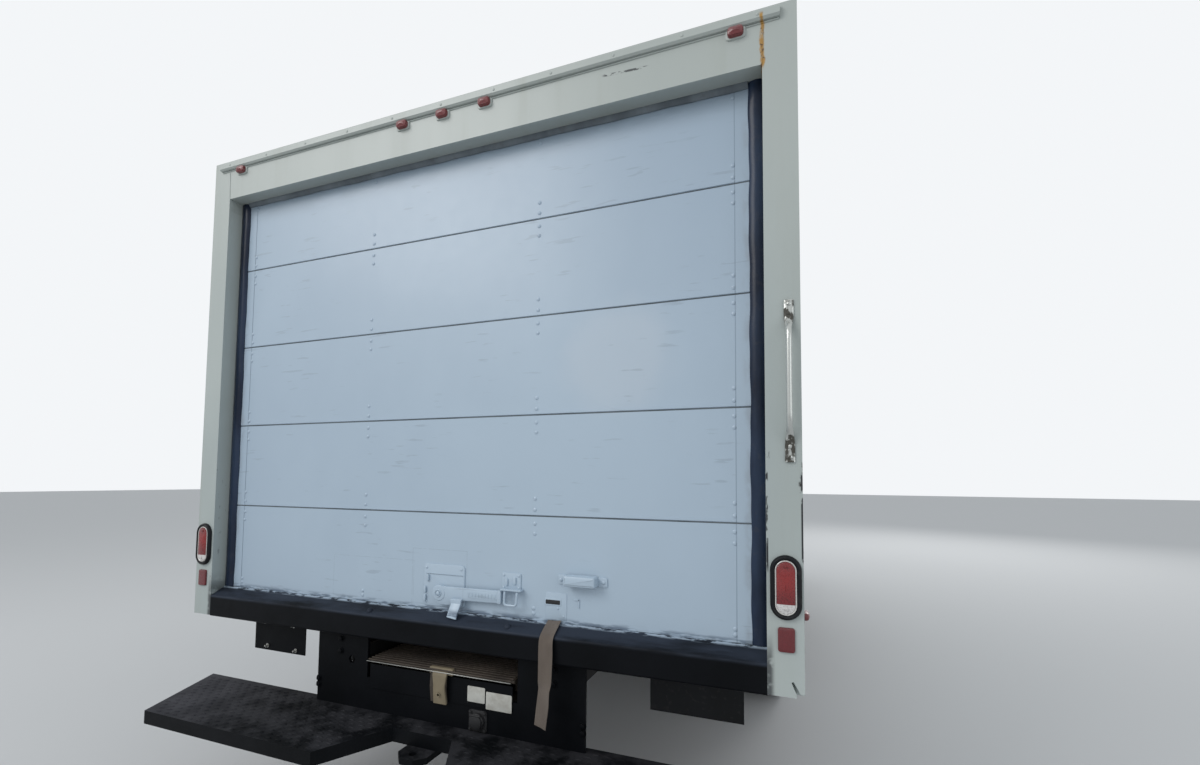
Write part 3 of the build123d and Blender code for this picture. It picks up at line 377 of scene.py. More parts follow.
# %% Body paint
f = Finish("body_paint")
x, y, z = f.axis("X"), f.axis("Y"), f.axis("Z")
clouds = f.noise(1.4, (1, 1, 0.5), 4)
runs = f.noise(9, (1, 1, 0.07), 3)
f.colour = f.mix(clouds.over(0.5, 0.2), (160, 169, 168), (172, 180, 178))
f.layer(z.over(2.4, 0.6) * 0.5, (166, 171, 165))
f.layer(runs.over(0.6, 0.12) * 0.22, (146, 150, 138))
edge = 1 - abs(abs(x) - (HALF_WIDTH - POST_WIDTH / 2)).between(-1, 0.041, 0.004)
low = 1 - z.over(FOOT_Z + 0.75, 0.12)
right_post = x.over(1.1, 0.05)
spots = f.noise(46, (1, 1, 0.34), 4, 0.7)
chips = spots.over(0.635, 0.012) * edge * low * (0.35 + right_post * 0.65)
chips = chips | spots.over(0.70, 0.01) * (1 - z.over(FOOT_Z + 0.02, 0.014))
f.layer(chips, (48, 46, 44))
weld = (x - 1.194 + f.noise(22) * 0.02 - 0.01).between(-0.006, 0.005, 0.003)
weld = weld * z.over(FOOT_Z + 1.905, 0.01) * (1 - z.over(FOOT_Z + 2.07, 0.006))
rust = weld * f.noise(55, (1, 1, 0.5)).over(0.4, 0.12)
f.layer(rust, (168, 128, 62))
cracks = rust * f.noise(90).over(0.58, 0.03)
f.layer(cracks, (70, 44, 24))
scrape_line = (z - (FOOT_Z + 2.077) + (x - 0.667) * 0.06 + 0.06).between(-0.004, 0.004, 0.002)
scrape = scrape_line * x.between(0.667, 0.825, 0.01) * f.noise(70, (0.5, 1, 1)).over(0.5, 0.04)
f.layer(scrape, (58, 62, 64))
inner = 1 - abs(x).over(HALF_WIDTH - POST_WIDTH + 0.016, 0.008)
spray = inner * (1 - z.over(SILL_TOP + 0.02, 0.06)) * f.noise(30).over(0.36, 0.14)
f.layer(spray * 0.85, (36, 38, 42))
lines = (abs(x) - 1.1965).between(-0.0035, 0.002, 0.001) | (abs(x) - 1.2935).between(-0.003, 0.01, 0.001)
lines = lines * (1 - y.over(REAR_Y + 0.008, 0.004)) * z.between(FOOT_Z + 0.36, FOOT_Z + 0.66, 0.02)
lines = lines * f.noise(26, (1, 1, 0.6)).over(0.47, 0.03)
f.layer(lines * right_post, (30, 32, 36))
# Painted shade: the header's underside, which faces down, is painted darker.
soffit_shade = (z - (FOOT_Z + 1.9)).between(-0.04, 0.02, 0.004) * y.over(REAR_Y + 0.012, 0.01)
f.layer(soffit_shade * 0.3 * f.noise(12, (0.3, 1, 1)), (120, 118, 108))
f.set(Base_Color=f.colour, Roughness=0.36 + runs * 0.16, Coat_Weight=0.12, Coat_Roughness=0.25)
peel = f.noise(190, detail=2)
f.bump(peel * 0.2 - chips * 0.8 + f.noise(3) * 4.0, 0.0006, 0.55)

# %% [markdown]
# The side sheets were painted before they were cut, so they are flatter and cleaner than the posts. The
# cab's white is glossy, with road film rising from the wheels and stone chips on its nose.

# %% Sheet and cab paint
# Side sheets, front wall and roof: pre-painted aluminium, flatter and cleaner than the posts.
f = Finish("panel_paint")
z = f.axis("Z")
clouds = f.noise(0.9, (1, 1, 0.5), 4)
runs = f.noise(11, (1, 1, 0.05), 3)
f.colour = f.mix(clouds.over(0.5, 0.22), (187, 195, 199), (200, 206, 208))
f.layer(runs.over(0.58, 0.14) * 0.16, (160, 160, 150))
grime = (1 - z.over(FOOT_Z + 0.3, 0.35)) * f.noise(5, (1, 1, 0.4)).over(0.4, 0.25)
f.layer(grime * 0.5, (140, 132, 118))
f.layer(f.facing_up() * f.noise(2.2).over(0.45, 0.25) * 0.35, (150, 146, 136))
f.set(Base_Color=f.colour, Roughness=0.33 + runs * 0.14, Coat_Weight=0.1, Coat_Roughness=0.2)
f.bump(f.noise(160, detail=2) * 0.15 + f.noise(1.7) * 9.0, 0.0006, 0.5)

# The cab's own white: smooth, glossy, with road film rising from the wheels.
f = Finish("cab_paint")
z = f.axis("Z")
film = (1 - z.over(1.05, 0.42)) * f.noise(4.5, (1, 1, 0.6), 4).over(0.38, 0.25)
f.colour = f.mix(f.noise(1.6).over(0.5, 0.25), (204, 208, 208), (214, 217, 216))
f.layer(film * 0.42, (150, 140, 124))
nose = f.axis("Y").over(3.45, 0.12) * z.between(0.7, 1.2, 0.1)
pits = f.noise(130, detail=2).over(0.71, 0.01) * nose
f.layer(pits, (60, 58, 56))
f.set(Base_Color=f.colour, Roughness=0.2 + film * 0.3, Coat_Weight=0.5, Coat_Roughness=0.06)
f.bump(f.noise(240, detail=2) * 0.08 - pits * 0.3, 0.0004, 0.4)
print("paints:", list(finishes))

# %% [markdown]
# ## Steel, rubber and the rest
# Dark parts are the easiest to get wrong: a flat black shows nothing. Each gets its own roughness noise,
# dust where it looks up, and a colour that is never quite black.

# %% Dark metals
def dusty_metal(name, dark, light, dust, roughness, grain):
    """Painted or cast metal: cloudy dark colour, dust on what faces the sky, and a rough grain."""
    f = Finish(name)
    clouds = f.noise(7, detail=4)
    f.colour = f.mix(clouds.over(0.5, 0.25), dark, light)
    settled = f.facing_up() * f.noise(11).over(0.42, 0.22)
    f.layer(settled * 0.5, dust)
    f.set(Base_Color=f.colour, Roughness=roughness + f.noise(30) * 0.18, Specular_IOR_Level=0.2)
    return f.bump(f.noise(grain), 0.0008, 0.35)


# Brushed-on black of the sill and step, rubbed grey along the top edge and flecked with white.
f = Finish("black_steel")
x, y, z = f.axis("X"), f.axis("Y"), f.axis("Z")
f.colour = f.mix(f.noise(5).over(0.5, 0.25), (6, 8, 11), (13, 15, 19))
ledge = z.over(FOOT_Z + 0.080, 0.006)
worn = ledge * f.noise(14, (0.2, 1, 1), 4).over(0.42, 0.16)
f.layer(worn * 0.6, (58, 66, 80))
near_door = ledge * y.over(DOOR_Y - 0.016, 0.006)
flecks = f.noise(60, (0.3, 1, 1), 4, 0.7).over(0.5, 0.06)
f.layer(near_door * flecks * 0.8, (168, 184, 200))
step_top = f.facing_up() * (1 - z.over(0.6, 0.03))
wear = step_top * f.noise(9, detail=5, rough=0.65).over(0.5, 0.14)
f.layer(wear * 0.5, (66, 66, 70))
fade = abs(x).over(0.9, 0.25) * step_top
f.layer(fade * 0.3, (84, 84, 92))
f.set(Base_Color=f.colour, Roughness=0.42 + f.noise(24) * 0.2 + step_top * 0.12, Specular_IOR_Level=0.1)
f.bump(f.noise(150) + f.noise(13) * 1.5, 0.0009, 0.4)

dusty_metal("frame_steel", (16, 16, 18), (32, 31, 31), (74, 68, 60), 0.55, 120)
dusty_metal("cast_parts", (52, 44, 38), (82, 66, 52), (112, 100, 84), 0.68, 300)
finishes["cast_parts"].set(Metallic=0.35)
dusty_metal("ramp_metal", (54, 49, 45), (84, 77, 70), (92, 80, 70), 0.6, 220)

# %% [markdown]
# Bare metal is brushed: its noise is drawn out along one axis, and the highlight breaks into lines. Where
# hands or road salt reach it, a mask turns the metal down and the roughness up.

# %% Bare metals and wheels
def bright_metal(name, dark, light, roughness, brush, metallic=0.9):
    """Bare metal, brushed along the axes whose stretch is small, with dull grey stains."""
    f = Finish(name)
    lines = f.noise(90, brush, 3)
    stains = f.noise(8, detail=4)
    f.colour = f.mix(lines, dark, light)
    f.layer(stains.over(0.6, 0.1) * 0.4, (96, 86, 72))
    f.set(Base_Color=f.colour, Roughness=roughness + lines * 0.2, Metallic=metallic)
    return f.bump(lines, 0.0003, 0.4)


bright_metal("bare_steel", (142, 142, 138), (190, 190, 186), 0.34, (1, 1, 0.1))
bright_metal("aluminium", (150, 142, 130), (196, 188, 176), 0.42, (0.05, 1, 1), 0.75)

# Grab handle: bright where hands polish it, dark and flaking at its feet.
f = Finish("handle_steel")
z = f.axis("Z")
ends = 1 - z.between(FOOT_Z + 0.79, FOOT_Z + 1.075, 0.05)
flakes = (ends * 0.34 + f.noise(60, (1, 1, 0.6), 4)).over(0.82, 0.06)
f.colour = f.mix(flakes, (196, 198, 194), (72, 70, 64))
f.set(Base_Color=f.colour, Roughness=0.28 + flakes * 0.4, Metallic=0.8 - flakes * 0.6)
f.bump(flakes + f.noise(120) * 0.4, 0.0006, 0.5)

# Silver-white paint on pressed steel, browned by brake dust towards the hub.
f = Finish("wheel_paint")
dust = f.noise(16, detail=4).over(0.45, 0.2)
f.colour = f.mix(dust * 0.5, (188, 190, 188), (126, 112, 96))
rust = f.noise(34, detail=4, rough=0.7).over(0.68, 0.03)
f.layer(rust * 0.8, (96, 58, 36))
f.set(Base_Color=f.colour, Roughness=0.36 + dust * 0.2, Metallic=0.15)
f.bump(f.noise(150) + rust * 1.5, 0.0006, 0.4)

# %% [markdown]
# Rubber keeps a soft highlight and a brown bloom. The seals beside the door are the same stuff with more
# gloss,
# and their colour is painted blue: a painted reflection of the sky along their curve. Tyres get fine ribs
# round their
# sidewalls: a sine of the distance from the axle is enough for that, and it turns with the wheel.

# %% Rubbers
def rubber(name, dark, light, roughness, bloom):
    f = Finish(name)
    cloud = f.noise(9, (1, 1, 0.3), 4)
    f.colour = f.mix(cloud.over(0.5, 0.2), dark, light)
    f.layer(f.noise(40).over(0.62, 0.06) * bloom, (84, 80, 76))
    f.set(Base_Color=f.colour, Roughness=roughness + cloud * 0.12, Specular_IOR_Level=0.25)
    return f.bump(f.noise(170), 0.0005, 0.3)


RIBS_PER_METRE = 1500.0


def tyre_rubber(name, axle):
    """Tyre rubber whose ribs follow the distance from the given axle, (y, z) in metres."""
    f = Finish(name)
    y, z = f.axis("Y") - axle[0], f.axis("Z") - axle[1]
    reach = (y * y + z * z).of("SQRT")
    cloud = f.noise(8, detail=4)
    f.colour = f.mix(cloud.over(0.5, 0.25), (32, 31, 31), (50, 48, 46))
    dust = reach.over(0.352, 0.012) * f.noise(14).over(0.36, 0.2)
    f.layer(dust * 0.6, (92, 84, 74))
    ribs = (reach * RIBS_PER_METRE).of("SINE").over(0.2, 0.6) * reach.between(0.235, 0.262, 0.004)
    f.set(Base_Color=f.colour, Roughness=0.62 + cloud * 0.15)
    return f.bump(ribs + f.noise(220) * 0.4, 0.0008, 0.5)


rubber("rubber", (9, 11, 14), (18, 20, 24), 0.42, 0.12)
# Painted reflection: the seals' blue colour stands in for the sky that their gloss mirrors.
rubber("seal_rubber", (16, 26, 44), (40, 54, 76), 0.26, 0.1)
tyre_rubber("front_tyre", (FRONT_Y, WHEEL_Z))
tyre_rubber("rear_tyre", (BACK_Y, WHEEL_Z))

# %% [markdown]
# Lamp lenses are thick clear plastic with moulded prisms behind them. A brick pattern of tiny domes as bump,
# under a smooth clear coat, gives the broken red glint without modelling the inside of each lens, and the
# same pattern paints each dome paler towards its edge as a painted glint.

# %% Lenses, glass and plastics
def lens(name, deep, pale, pitch=260):
    f = Finish(name)
    cells = f.cells(pitch)
    # Painted glint: each prism dome is painted paler towards its edge.
    f.colour = f.mix(cells.over(0.35, 0.25), deep, pale)
    f.set(Base_Color=f.colour, Roughness=0.22 + cells * 0.2, Coat_Weight=0.5, Coat_Roughness=0.04)
    return f.bump(cells, 0.0012, 0.6)


def smooth_glass(name, tint, strength):
    f = Finish(name)
    film = f.noise(5, (1, 1, 0.5), 4).over(0.5, 0.3)
    f.set(Base_Color=tint, Roughness=0.01 + film * 0.05, Transmission_Weight=strength, IOR=1.45)
    return f


def plastic(name, dark, light, roughness, grain):
    f = Finish(name)
    f.colour = f.mix(f.noise(6).over(0.5, 0.25), dark, light)
    f.set(Base_Color=f.colour, Roughness=roughness + f.noise(40) * 0.12)
    return f.bump(f.cells(grain), 0.0006, 0.45)


lens("lens_red", (70, 8, 12), (112, 20, 24))
lens("lens_pale", (178, 176, 172), (208, 206, 202))
lens("lens_amber", (190, 96, 20), (222, 136, 40))
lens("marker_red", (84, 22, 26), (118, 44, 46), 420)
lens("reflector_red", (72, 8, 14), (104, 18, 26), 640)
smooth_glass("glass", (0.80, 0.90, 0.87), 0.95)
smooth_glass("lens_clear", (0.95, 0.96, 0.96), 0.9)
Finish("mirror_face").set(Base_Color=(0.8, 0.82, 0.83), Metallic=1.0, Roughness=0.03)
plastic("dark_plastic", (20, 20, 22), (32, 32, 34), 0.5, 700)
plastic("interior", (88, 88, 88), (104, 103, 101), 0.6, 520)

# %% [markdown]
# Woven things need a weave that follows the cloth and not the room, so their patterns read the piece's own
# UV map: U runs across and V along, both in metres. Two sines at right angles make the plain weave.

# %% Cloth, webbing and boards
def woven(name, dark, light, threads, stain):
    """Plain weave with the given threads a metre, on the piece's UV map."""
    f = Finish(name)
    uv = f.add("UVMap", {"uv_map": "cloth"}, {})
    u = f.add("SeparateXYZ", {}, {0: uv}, "X")
    v = f.add("SeparateXYZ", {}, {0: uv}, "Y")
    weave = abs((u * (threads * math.pi)).of("SINE") * (v * (threads * math.pi)).of("SINE"))
    f.colour = f.mix(weave, dark, light)
    f.layer(f.noise(18, (1, 1, 0.4), 4).over(0.5, 0.2) * 0.5, stain)
    f.set(Base_Color=f.colour, Roughness=0.86, Sheen_Weight=0.3, Sheen_Roughness=0.4)
    return f.bump(weave, 0.0006, 0.7)


woven("seat_cloth", (42, 43, 46), (72, 73, 77), 420, (58, 56, 54))
woven("webbing", (86, 77, 70), (130, 118, 107), 900, (80, 68, 60))

# Hardwood floor: long boards side by side, each a little different, with grain along the truck.
BOARD_WIDTH = 0.152
f = Finish("deck_wood")
x = f.axis("X")
board = (x * (1 / BOARD_WIDTH)).of("FLOOR")
shade = f.add("TexWhiteNoise", {"noise_dimensions": "1D"}, {"W": board}, "Value")
seam = (x * (1 / BOARD_WIDTH)).of("FRACT").between(0.02, 0.98, 0.012)
grain = f.noise(30, (1, 0.04, 1), 5, 0.65)
f.colour = f.mix(grain * 0.7 + shade * 0.3, (104, 74, 46), (160, 122, 82))
f.layer(1 - seam, (36, 28, 22))
f.set(Base_Color=f.colour, Roughness=0.55 + grain * 0.2)
f.bump(seam + grain * 0.3, 0.0015, 0.5)

Finish("ground").set(Base_Color=PALE, Roughness=0.85)
floor_mesh.materials.append(finishes["ground"].material)
print("finishes:", len(finishes))

# %% [markdown]
# Every node of the frame first takes the finish that its record names, so that nothing is ever bare. Some
# of them are replaced further down by a finer piece. The side sheets and the roof take the cleaner paint.

# %% Finishes on the frame's own pieces
SPECIAL = {"box_side_right": "panel_paint", "box_side_left": "panel_paint", "box_roof": "panel_paint",
           "box_front_wall": "panel_paint", "door_latch": "door_paint", "latch_keeper": "door_paint",
           "lift_handle": "door_paint", "grab_handle": "handle_steel", "door_seals": "seal_rubber",
           "ramp": "ramp_metal", "front_tyre_right": "front_tyre", "front_tyre_left": "front_tyre",
           "rear_tyres_right": "rear_tyre", "rear_tyres_left": "rear_tyre"}
for row in frame["record"]["subparts"]:
    name = row["node"]
    finish = finishes[SPECIAL.get(name, row["material_slot"])]
    mesh = nodes[name].data
    mesh.materials.clear()
    mesh.materials.append(finish.material)
print("dressed", len(nodes), "nodes")

# %% [markdown]
# ## Shapes as arrays
# The truck has thousands of small parts, so shapes are arrays of points and not editor operations. A `Form`
# keeps its points and faces, can be moved, turned, mirrored, repeated at many places in one step, and joined
# with plus. Forms are drawn in millimetres round their own origin and put on the truck at the end.

# %% Forms
BACK = np.array([0, REAR_Y, FOOT_Z])
GROUND = np.array([0, REAR_Y, 0])
CAB = np.array([0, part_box("cab_shell")[0].y, 0])
AXLE_Z = round(WHEEL_Z / MM)
FRONT_AXLE_Y = round((FRONT_Y - REAR_Y) / MM)
REAR_AXLE_Y = round((BACK_Y - REAR_Y) / MM)
CAB_AXLE_Y = round((FRONT_Y - CAB[1]) / MM)


class Form:
    """Points and faces of a closed shape, in millimetres."""

    def __init__(self, points, faces):
        self.points = np.asarray(points, float).reshape(-1, 3)
        self.faces = list(faces)

    def __add__(self, other):
        shift = len(self.points)
        return Form(np.vstack([self.points, other.points]),
                    self.faces + [tuple(i + shift for i in face) for face in other.faces])

    def at(self, *place):
        """Moved so that its origin lies at a place."""
        return Form(self.points + np.array(place, float), self.faces)

    def turned(self, degrees, axis):
        """Turned about X, Y or Z through its origin."""
        turn = np.array(Matrix.Rotation(math.radians(degrees), 3, axis))
        return Form(self.points @ turn.T, self.faces)

    def mirrored(self):
        """The same shape on the other side of the truck."""
        return Form(self.points * (-1, 1, 1), [face[::-1] for face in self.faces])

    def both(self):
        """The shape and its mirror image."""
        return self + self.mirrored()

    def repeated(self, places):
        """One copy at each place."""
        places = np.asarray(places, float).reshape(-1, 3)
        points = places[:, None] + self.points[None]
        count = len(self.points)
        return Form(points, [tuple(i + count * copy for i in face)
                             for copy in range(len(places)) for face in self.faces])

    def put(self, origin):
        """From millimetres to the frame's metres, on the back, the ground line or the cab."""
        return Form(self.points * MM + origin, self.faces)


print("front axle", FRONT_AXLE_Y, "and rear axle", REAR_AXLE_Y, "mm ahead of the rear face")

# %% [markdown]
# Most pieces come in pairs or in rows, and many are drawn as a flat outline first. These helpers join forms,
# pick a side and stand an outline up in space.

# %% Helpers for forms
def joined(forms):
    """Many forms as one."""
    forms = list(forms)
    whole = forms[0]
    for form in forms[1:]:
        whole = whole + form
    return whole


def on_side(form, side):
    """A form that is drawn on the right, on the side that is named."""
    return form if side == "right" else form.mirrored()


def unit(vectors):
    """Each vector at length one."""
    return vectors / np.maximum(np.linalg.norm(vectors, axis=-1, keepdims=True), 1e-9)


def upright_at(outline, y):
    """(across, up) outline as points in an upright plane across the truck."""
    return np.stack([outline[:, 0], np.full(len(outline), y), outline[:, 1]], axis=-1)


def beside_at(outline, x):
    """(forward, up) outline as points in an upright plane along the truck."""
    return np.stack([np.full(len(outline), x), outline[:, 0], outline[:, 1]], axis=-1)

# %% [markdown]
# Most shapes are rows of points, each row a ring. One function skins the rows, and a turned shape is a
# profile swung about an axis.

# %% Skins and turned shapes
def skin(grid, ends=True):
    """Closed shape from rows of points, each row a ring; the first and last rings are capped."""
    grid = np.asarray(grid, float)
    rows, columns = grid.shape[:2]
    index = np.arange(rows * columns).reshape(rows, columns)
    following = np.roll(index, -1, axis=1)
    quads = np.stack([index[:-1], following[:-1], following[1:], index[1:]], axis=-1).reshape(-1, 4)
    faces = [tuple(quad) for quad in quads.tolist()]
    if ends:
        faces += [tuple(index[0][::-1].tolist()), tuple(index[-1].tolist())]
    return Form(grid, faces)


def lathe(profile, axis="Y", steps=16, closed=False):
    """Round shape, points = (along, r cos a, r sin a) for (along, r) pairs, turned about an axis."""
    profile = np.array(list(profile) + ([profile[0]] if closed else []), float)
    angle = np.linspace(0, 2 * math.pi, steps, endpoint=False)
    along = np.repeat(profile[:, :1], steps, axis=1)
    grid = np.stack([along, profile[:, 1:] * np.cos(angle), profile[:, 1:] * np.sin(angle)], axis=-1)
    return skin(np.roll(grid, "XYZ".index(axis), axis=-1), ends=not closed)


print("a six-sided rod has", len(lathe([(0, 1), (1, 1)], steps=6).faces), "faces")

# %% [markdown]
# A bar is a section carried along a path whose corners are rounded by a parabola. The section keeps its
# side level with the last one, so that the bar doesn't twist.

# %% Paths, sections and bars
def corner_curve(before, corner, after, reach, steps, most):
    """(1-t)^2 A + 2t(1-t) P + t^2 B round a corner P; A and B lie at the reach or at most a share away."""
    start = corner + (before - corner) * min(most, reach / np.linalg.norm(before - corner))
    end = corner + (after - corner) * min(most, reach / np.linalg.norm(after - corner))
    return [(1 - t) ** 2 * start + 2 * t * (1 - t) * corner + t * t * end for t in np.linspace(0, 1, steps)]


def bent(corners, reach, steps=5):
    """Path through corners, each rounded."""
    corners = np.array(corners, float)
    path = [corners[0]]
    for before, corner, after in zip(corners, corners[1:], corners[2:]):
        path += corner_curve(before, corner, after, reach, steps, 0.48)
    return np.array(path + [corners[-1]])


def soft_outline(corners, reach, steps=4):
    """Closed outline of (across, up) corners with each corner rounded."""
    corners = np.array(corners, float)
    ring = []
    for before, corner, after in zip(np.roll(corners, 1, axis=0), corners, np.roll(corners, -1, axis=0)):
        ring += corner_curve(before, corner, after, reach, steps, 0.45)
    return np.array(ring)


def carry(path, sections, side):
    """Sections of (across, out) pairs carried along a path, without twist; side is the first across."""
    path = np.array(path, float)
    sections = np.asarray(sections, float)
    if sections.ndim == 2:
        sections = np.repeat(sections[None], len(path), axis=0)
    side = np.array(side, float)
    rings = []
    for place, forward, section in zip(path, unit(np.gradient(path, axis=0)), sections):
        side = unit(side - forward * (side @ forward))
        out = np.cross(forward, side)
        rings.append(place + section[:, :1] * side + section[:, 1:] * out)
    return skin(rings)


def circle(radius, steps=10):
    """Round section."""
    angle = np.linspace(0, 2 * math.pi, steps, endpoint=False)
    return np.stack([radius * np.cos(angle), radius * np.sin(angle)], axis=-1)


def tube(corners, radius, reach=20.0, sides=10, side=(1, 0.01, 0.02)):
    """Round bar through corners."""
    return carry(bent(corners, reach), circle(radius, sides), side)


def rounded(width, height, radius, steps=4):
    """Outline of a rectangle with round corners, as (across, up) pairs; full radii give a stadium."""
    radius = min(radius, width / 2, height / 2)
    outline = []
    for corner, (sx, sz) in enumerate([(1, 1), (-1, 1), (-1, -1), (1, -1)]):
        for angle in np.linspace(0, math.pi / 2, steps + 1) + corner * math.pi / 2:
            outline.append((sx * (width / 2 - radius) + radius * math.cos(angle),
                            sz * (height / 2 - radius) + radius * math.sin(angle)))
    return np.array(outline)

# %% [markdown]
# Pressed and cast parts stand out from a wall: an outline goes up, is drawn in at its edge and may swell to
# a dome. A bevelled edge matters more than its size suggests, because it is what catches the light.

# %% Pads and bricks
def inset(outline, distance):
    """Outline moved inwards along its own normals."""
    ahead = unit(np.roll(outline, -1, axis=0) - outline)
    behind = unit(outline - np.roll(outline, 1, axis=0))
    run = unit(ahead + behind)
    return outline + np.stack([-run[:, 1], run[:, 0]], axis=-1) * distance


def pad(outline, depth, edge=0.0, dome=0.0, rows=4):
    """Plate standing out along -Y: an upright rim, a bevelled edge and, if asked, a domed face."""
    rings = [(outline, 0.0), (outline, depth - edge)]
    top = inset(outline, edge) if edge else outline
    if edge:
        rings += [(inset(outline, edge * 0.3), depth - edge * 0.3), (top, depth)]
    middle = top.mean(axis=0)
    if dome:
        for share in np.linspace(1, 0.12, rows + 1)[1:]:
            rings.append((middle + (top - middle) * share, depth + dome * (1 - share ** 2)))
    return skin([upright_at(ring, -out) for ring, out in rings])


def brick(x0, x1, y0, y1, z0, z1, edge=1.5):
    """Box between two corners with bevelled edges, built as a bevelled plate that faces the rear."""
    edge = min(edge, (x1 - x0) / 2.1, (z1 - z0) / 2.1, (y1 - y0) / 2.1)
    outline = rounded(x1 - x0, z1 - z0, edge, 1)
    small = inset(outline, edge)
    rings = [(small, 0.0), (outline, edge), (outline, y1 - y0 - edge), (small, y1 - y0)]
    return skin([upright_at(ring, -out) for ring, out in rings]).at((x0 + x1) / 2, y1, (z0 + z1) / 2)

# %% [markdown]
# A piece joins its forms into one mesh, each with its own finish, merges double points, turns all faces
# outwards and rides on a body of the frame. Screws and bolts come last, because everything uses them.

# %% Pieces, screws and bolts
MERGE_BELOW = 2e-7


def piece(name, *dressed, on=BACK, body=TRUCK, instead_of=None, crease=36):
    """Object from (form, finish name) pairs drawn on a place, riding on a body of the frame."""
    whole = joined(form for form, _ in dressed).put(on)
    mesh = bpy.data.meshes.new(name)
    mesh.from_pydata(whole.points.tolist(), [], whole.faces)
    tags = np.repeat(np.arange(len(dressed)), [len(form.faces) for form, _ in dressed])
    mesh.polygons.foreach_set("material_index", tags.astype(np.int32))
    for _, finish in dressed:
        mesh.materials.append(finishes[finish].material)
    shape = bmesh.new()
    shape.from_mesh(mesh)
    bmesh.ops.remove_doubles(shape, verts=shape.verts, dist=MERGE_BELOW)
    bmesh.ops.recalc_face_normals(shape, faces=shape.faces)
    shape.to_mesh(mesh)
    shape.free()
    mesh.shade_smooth()
    mesh.set_sharp_from_angle(angle=math.radians(crease))
    print(name, len(mesh.polygons), "faces")
    thing = bpy.data.objects.new(name, mesh)
    scene.collection.objects.link(thing)
    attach(thing, body)
    if instead_of:
        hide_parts(instead_of)
    return thing


def points_of(mesh):
    """The points of a mesh as an array."""
    points = np.empty(len(mesh.vertices) * 3)
    mesh.vertices.foreach_get("co", points)
    return points.reshape(-1, 3)


def screw_head(radius, height=None):
    """Low round head that looks to the rear."""
    height = height or radius * 0.55
    return lathe([(0.4, radius), (-height * 0.3, radius), (-height * 0.8, radius * 0.68),
                  (-height, radius * 0.25), (-height, 0)], "Y", 10)


def hex_bolt(radius, height=None):
    """Six-sided head on a round washer, looking to the rear."""
    height = height or radius * 0.7
    washer = radius * 1.5
    head = lathe([(0, radius), (-height * 0.85, radius), (-height, radius * 0.8), (-height, 0)], "Y", 6)
    disc = lathe([(0.4, 0), (0.4, washer), (-2.0, washer), (-2.0, 0)], "Y", 18)
    return head.at(0, -1.9, 0) + disc


print("a rivet-sized screw head has", len(screw_head(6).points), "points")

# %% [markdown]
# ## Finishes that need a place
# The tail lamp's lens is one moulding, red with a clear foot for the reversing light. The border is a height
# on the truck, so the colour is chosen by Z and the edge stays crisp however the dome is meshed.

# %% Lamp, label and strip finishes
CLEAR_FOOT = FOOT_Z + 0.265

f = Finish("tail_lens")
cells = f.cells(240)
# Painted glint: each prism dome is painted paler towards its edge.
painted_glint = cells.over(0.3, 0.25)
red = f.mix(painted_glint, (64, 6, 10), (112, 16, 20))
clear = f.mix(painted_glint, (176, 170, 168), (208, 206, 204))
# Painted highlight: a brighter red band across the lens, a little above its middle.
glow = 1 - abs(f.axis("Z") - (FOOT_Z + 0.335)).over(0.035, 0.03)
red = f.mix(glow * 0.4, red, (164, 44, 40))
f.colour = f.mix(f.axis("Z").over(CLEAR_FOOT, 0.0006), clear, red)
f.set(Base_Color=f.colour, Roughness=0.2 + cells * 0.2, Coat_Weight=0.5, Coat_Roughness=0.04)
f.bump(cells, 0.0012, 0.6)

# Blank sticker: off-white, sun-faded, with brown dirt creeping in from the edges.
f = Finish("label")
dirt = f.noise(30, detail=4).over(0.5, 0.15)
f.colour = f.mix(dirt * 0.35, (188, 188, 182), (120, 112, 98))
f.set(Base_Color=f.colour, Roughness=0.5 + dirt * 0.2)

rubber("head_strip", (84, 92, 98), (112, 120, 126), 0.5, 0.2)
dusty_metal("beige", (112, 103, 86), (140, 129, 108), (96, 84, 66), 0.5, 200)
Finish("chrome").set(Base_Color=(0.75, 0.76, 0.77), Metallic=1.0, Roughness=0.09)

# %% [markdown]
# ## The roll-up door
# Four seams, and at each one four hinges whose rivets show as small domes on the outside. On the real door
# they are drawn through the panel in one blow, so they have no edge: a low turned dome, repeated by array at
# every seam. Next to them sits the thin joint of the panels' end strips.

# %% Door rivets and end strips
SEAMS = [489 + 367 * row for row in range(4)]
RIVET_RISE = (60, 20, -30, -66)
RIVET_COLUMNS = (-1095, -391, 391, 1095)
DOOR_FACE = 71.0

dome = lathe([(0.5, 7.5), (-1.2, 6.9), (-2.6, 4.6), (-3.2, 0)], "Y", 12)
rivet_places = [(x, DOOR_FACE, seam + rise) for x in RIVET_COLUMNS for seam in SEAMS for rise in RIVET_RISE]
rivet_places += [(x, DOOR_FACE, z) for x in RIVET_COLUMNS for z in (140, 158, 1880, 1902)]
piece("door_rivets", (dome.repeated(rivet_places), "door_paint"))

DOOR_FOOT, DOOR_HEAD, STRIP_X = 119, 1953, END_STRIP_X / MM
levels = [DOOR_FOOT] + SEAMS + [DOOR_HEAD]
strips = joined(brick(STRIP_X, 1168, DOOR_FACE - 1.0, DOOR_FACE + 0.5, low + 1, high - 6, 0.5).both()
                for low, high in zip(levels, levels[1:]))
strips = strips + joined(brick(-STRIP_X, STRIP_X, DOOR_FACE - 1.6, DOOR_FACE + 0.5, seam + 1, seam + 7, 0.7)
                         for seam in SEAMS)
gaskets = brick(-1170, 1170, DOOR_FACE + 2, DOOR_FACE + 9, -5.2, 0.2, 0.4).repeated(
    [(0, 0, seam) for seam in SEAMS])
piece("door_strips", (strips, "door_paint"), (gaskets, "head_strip"))
print(len(rivet_places), "rivets")

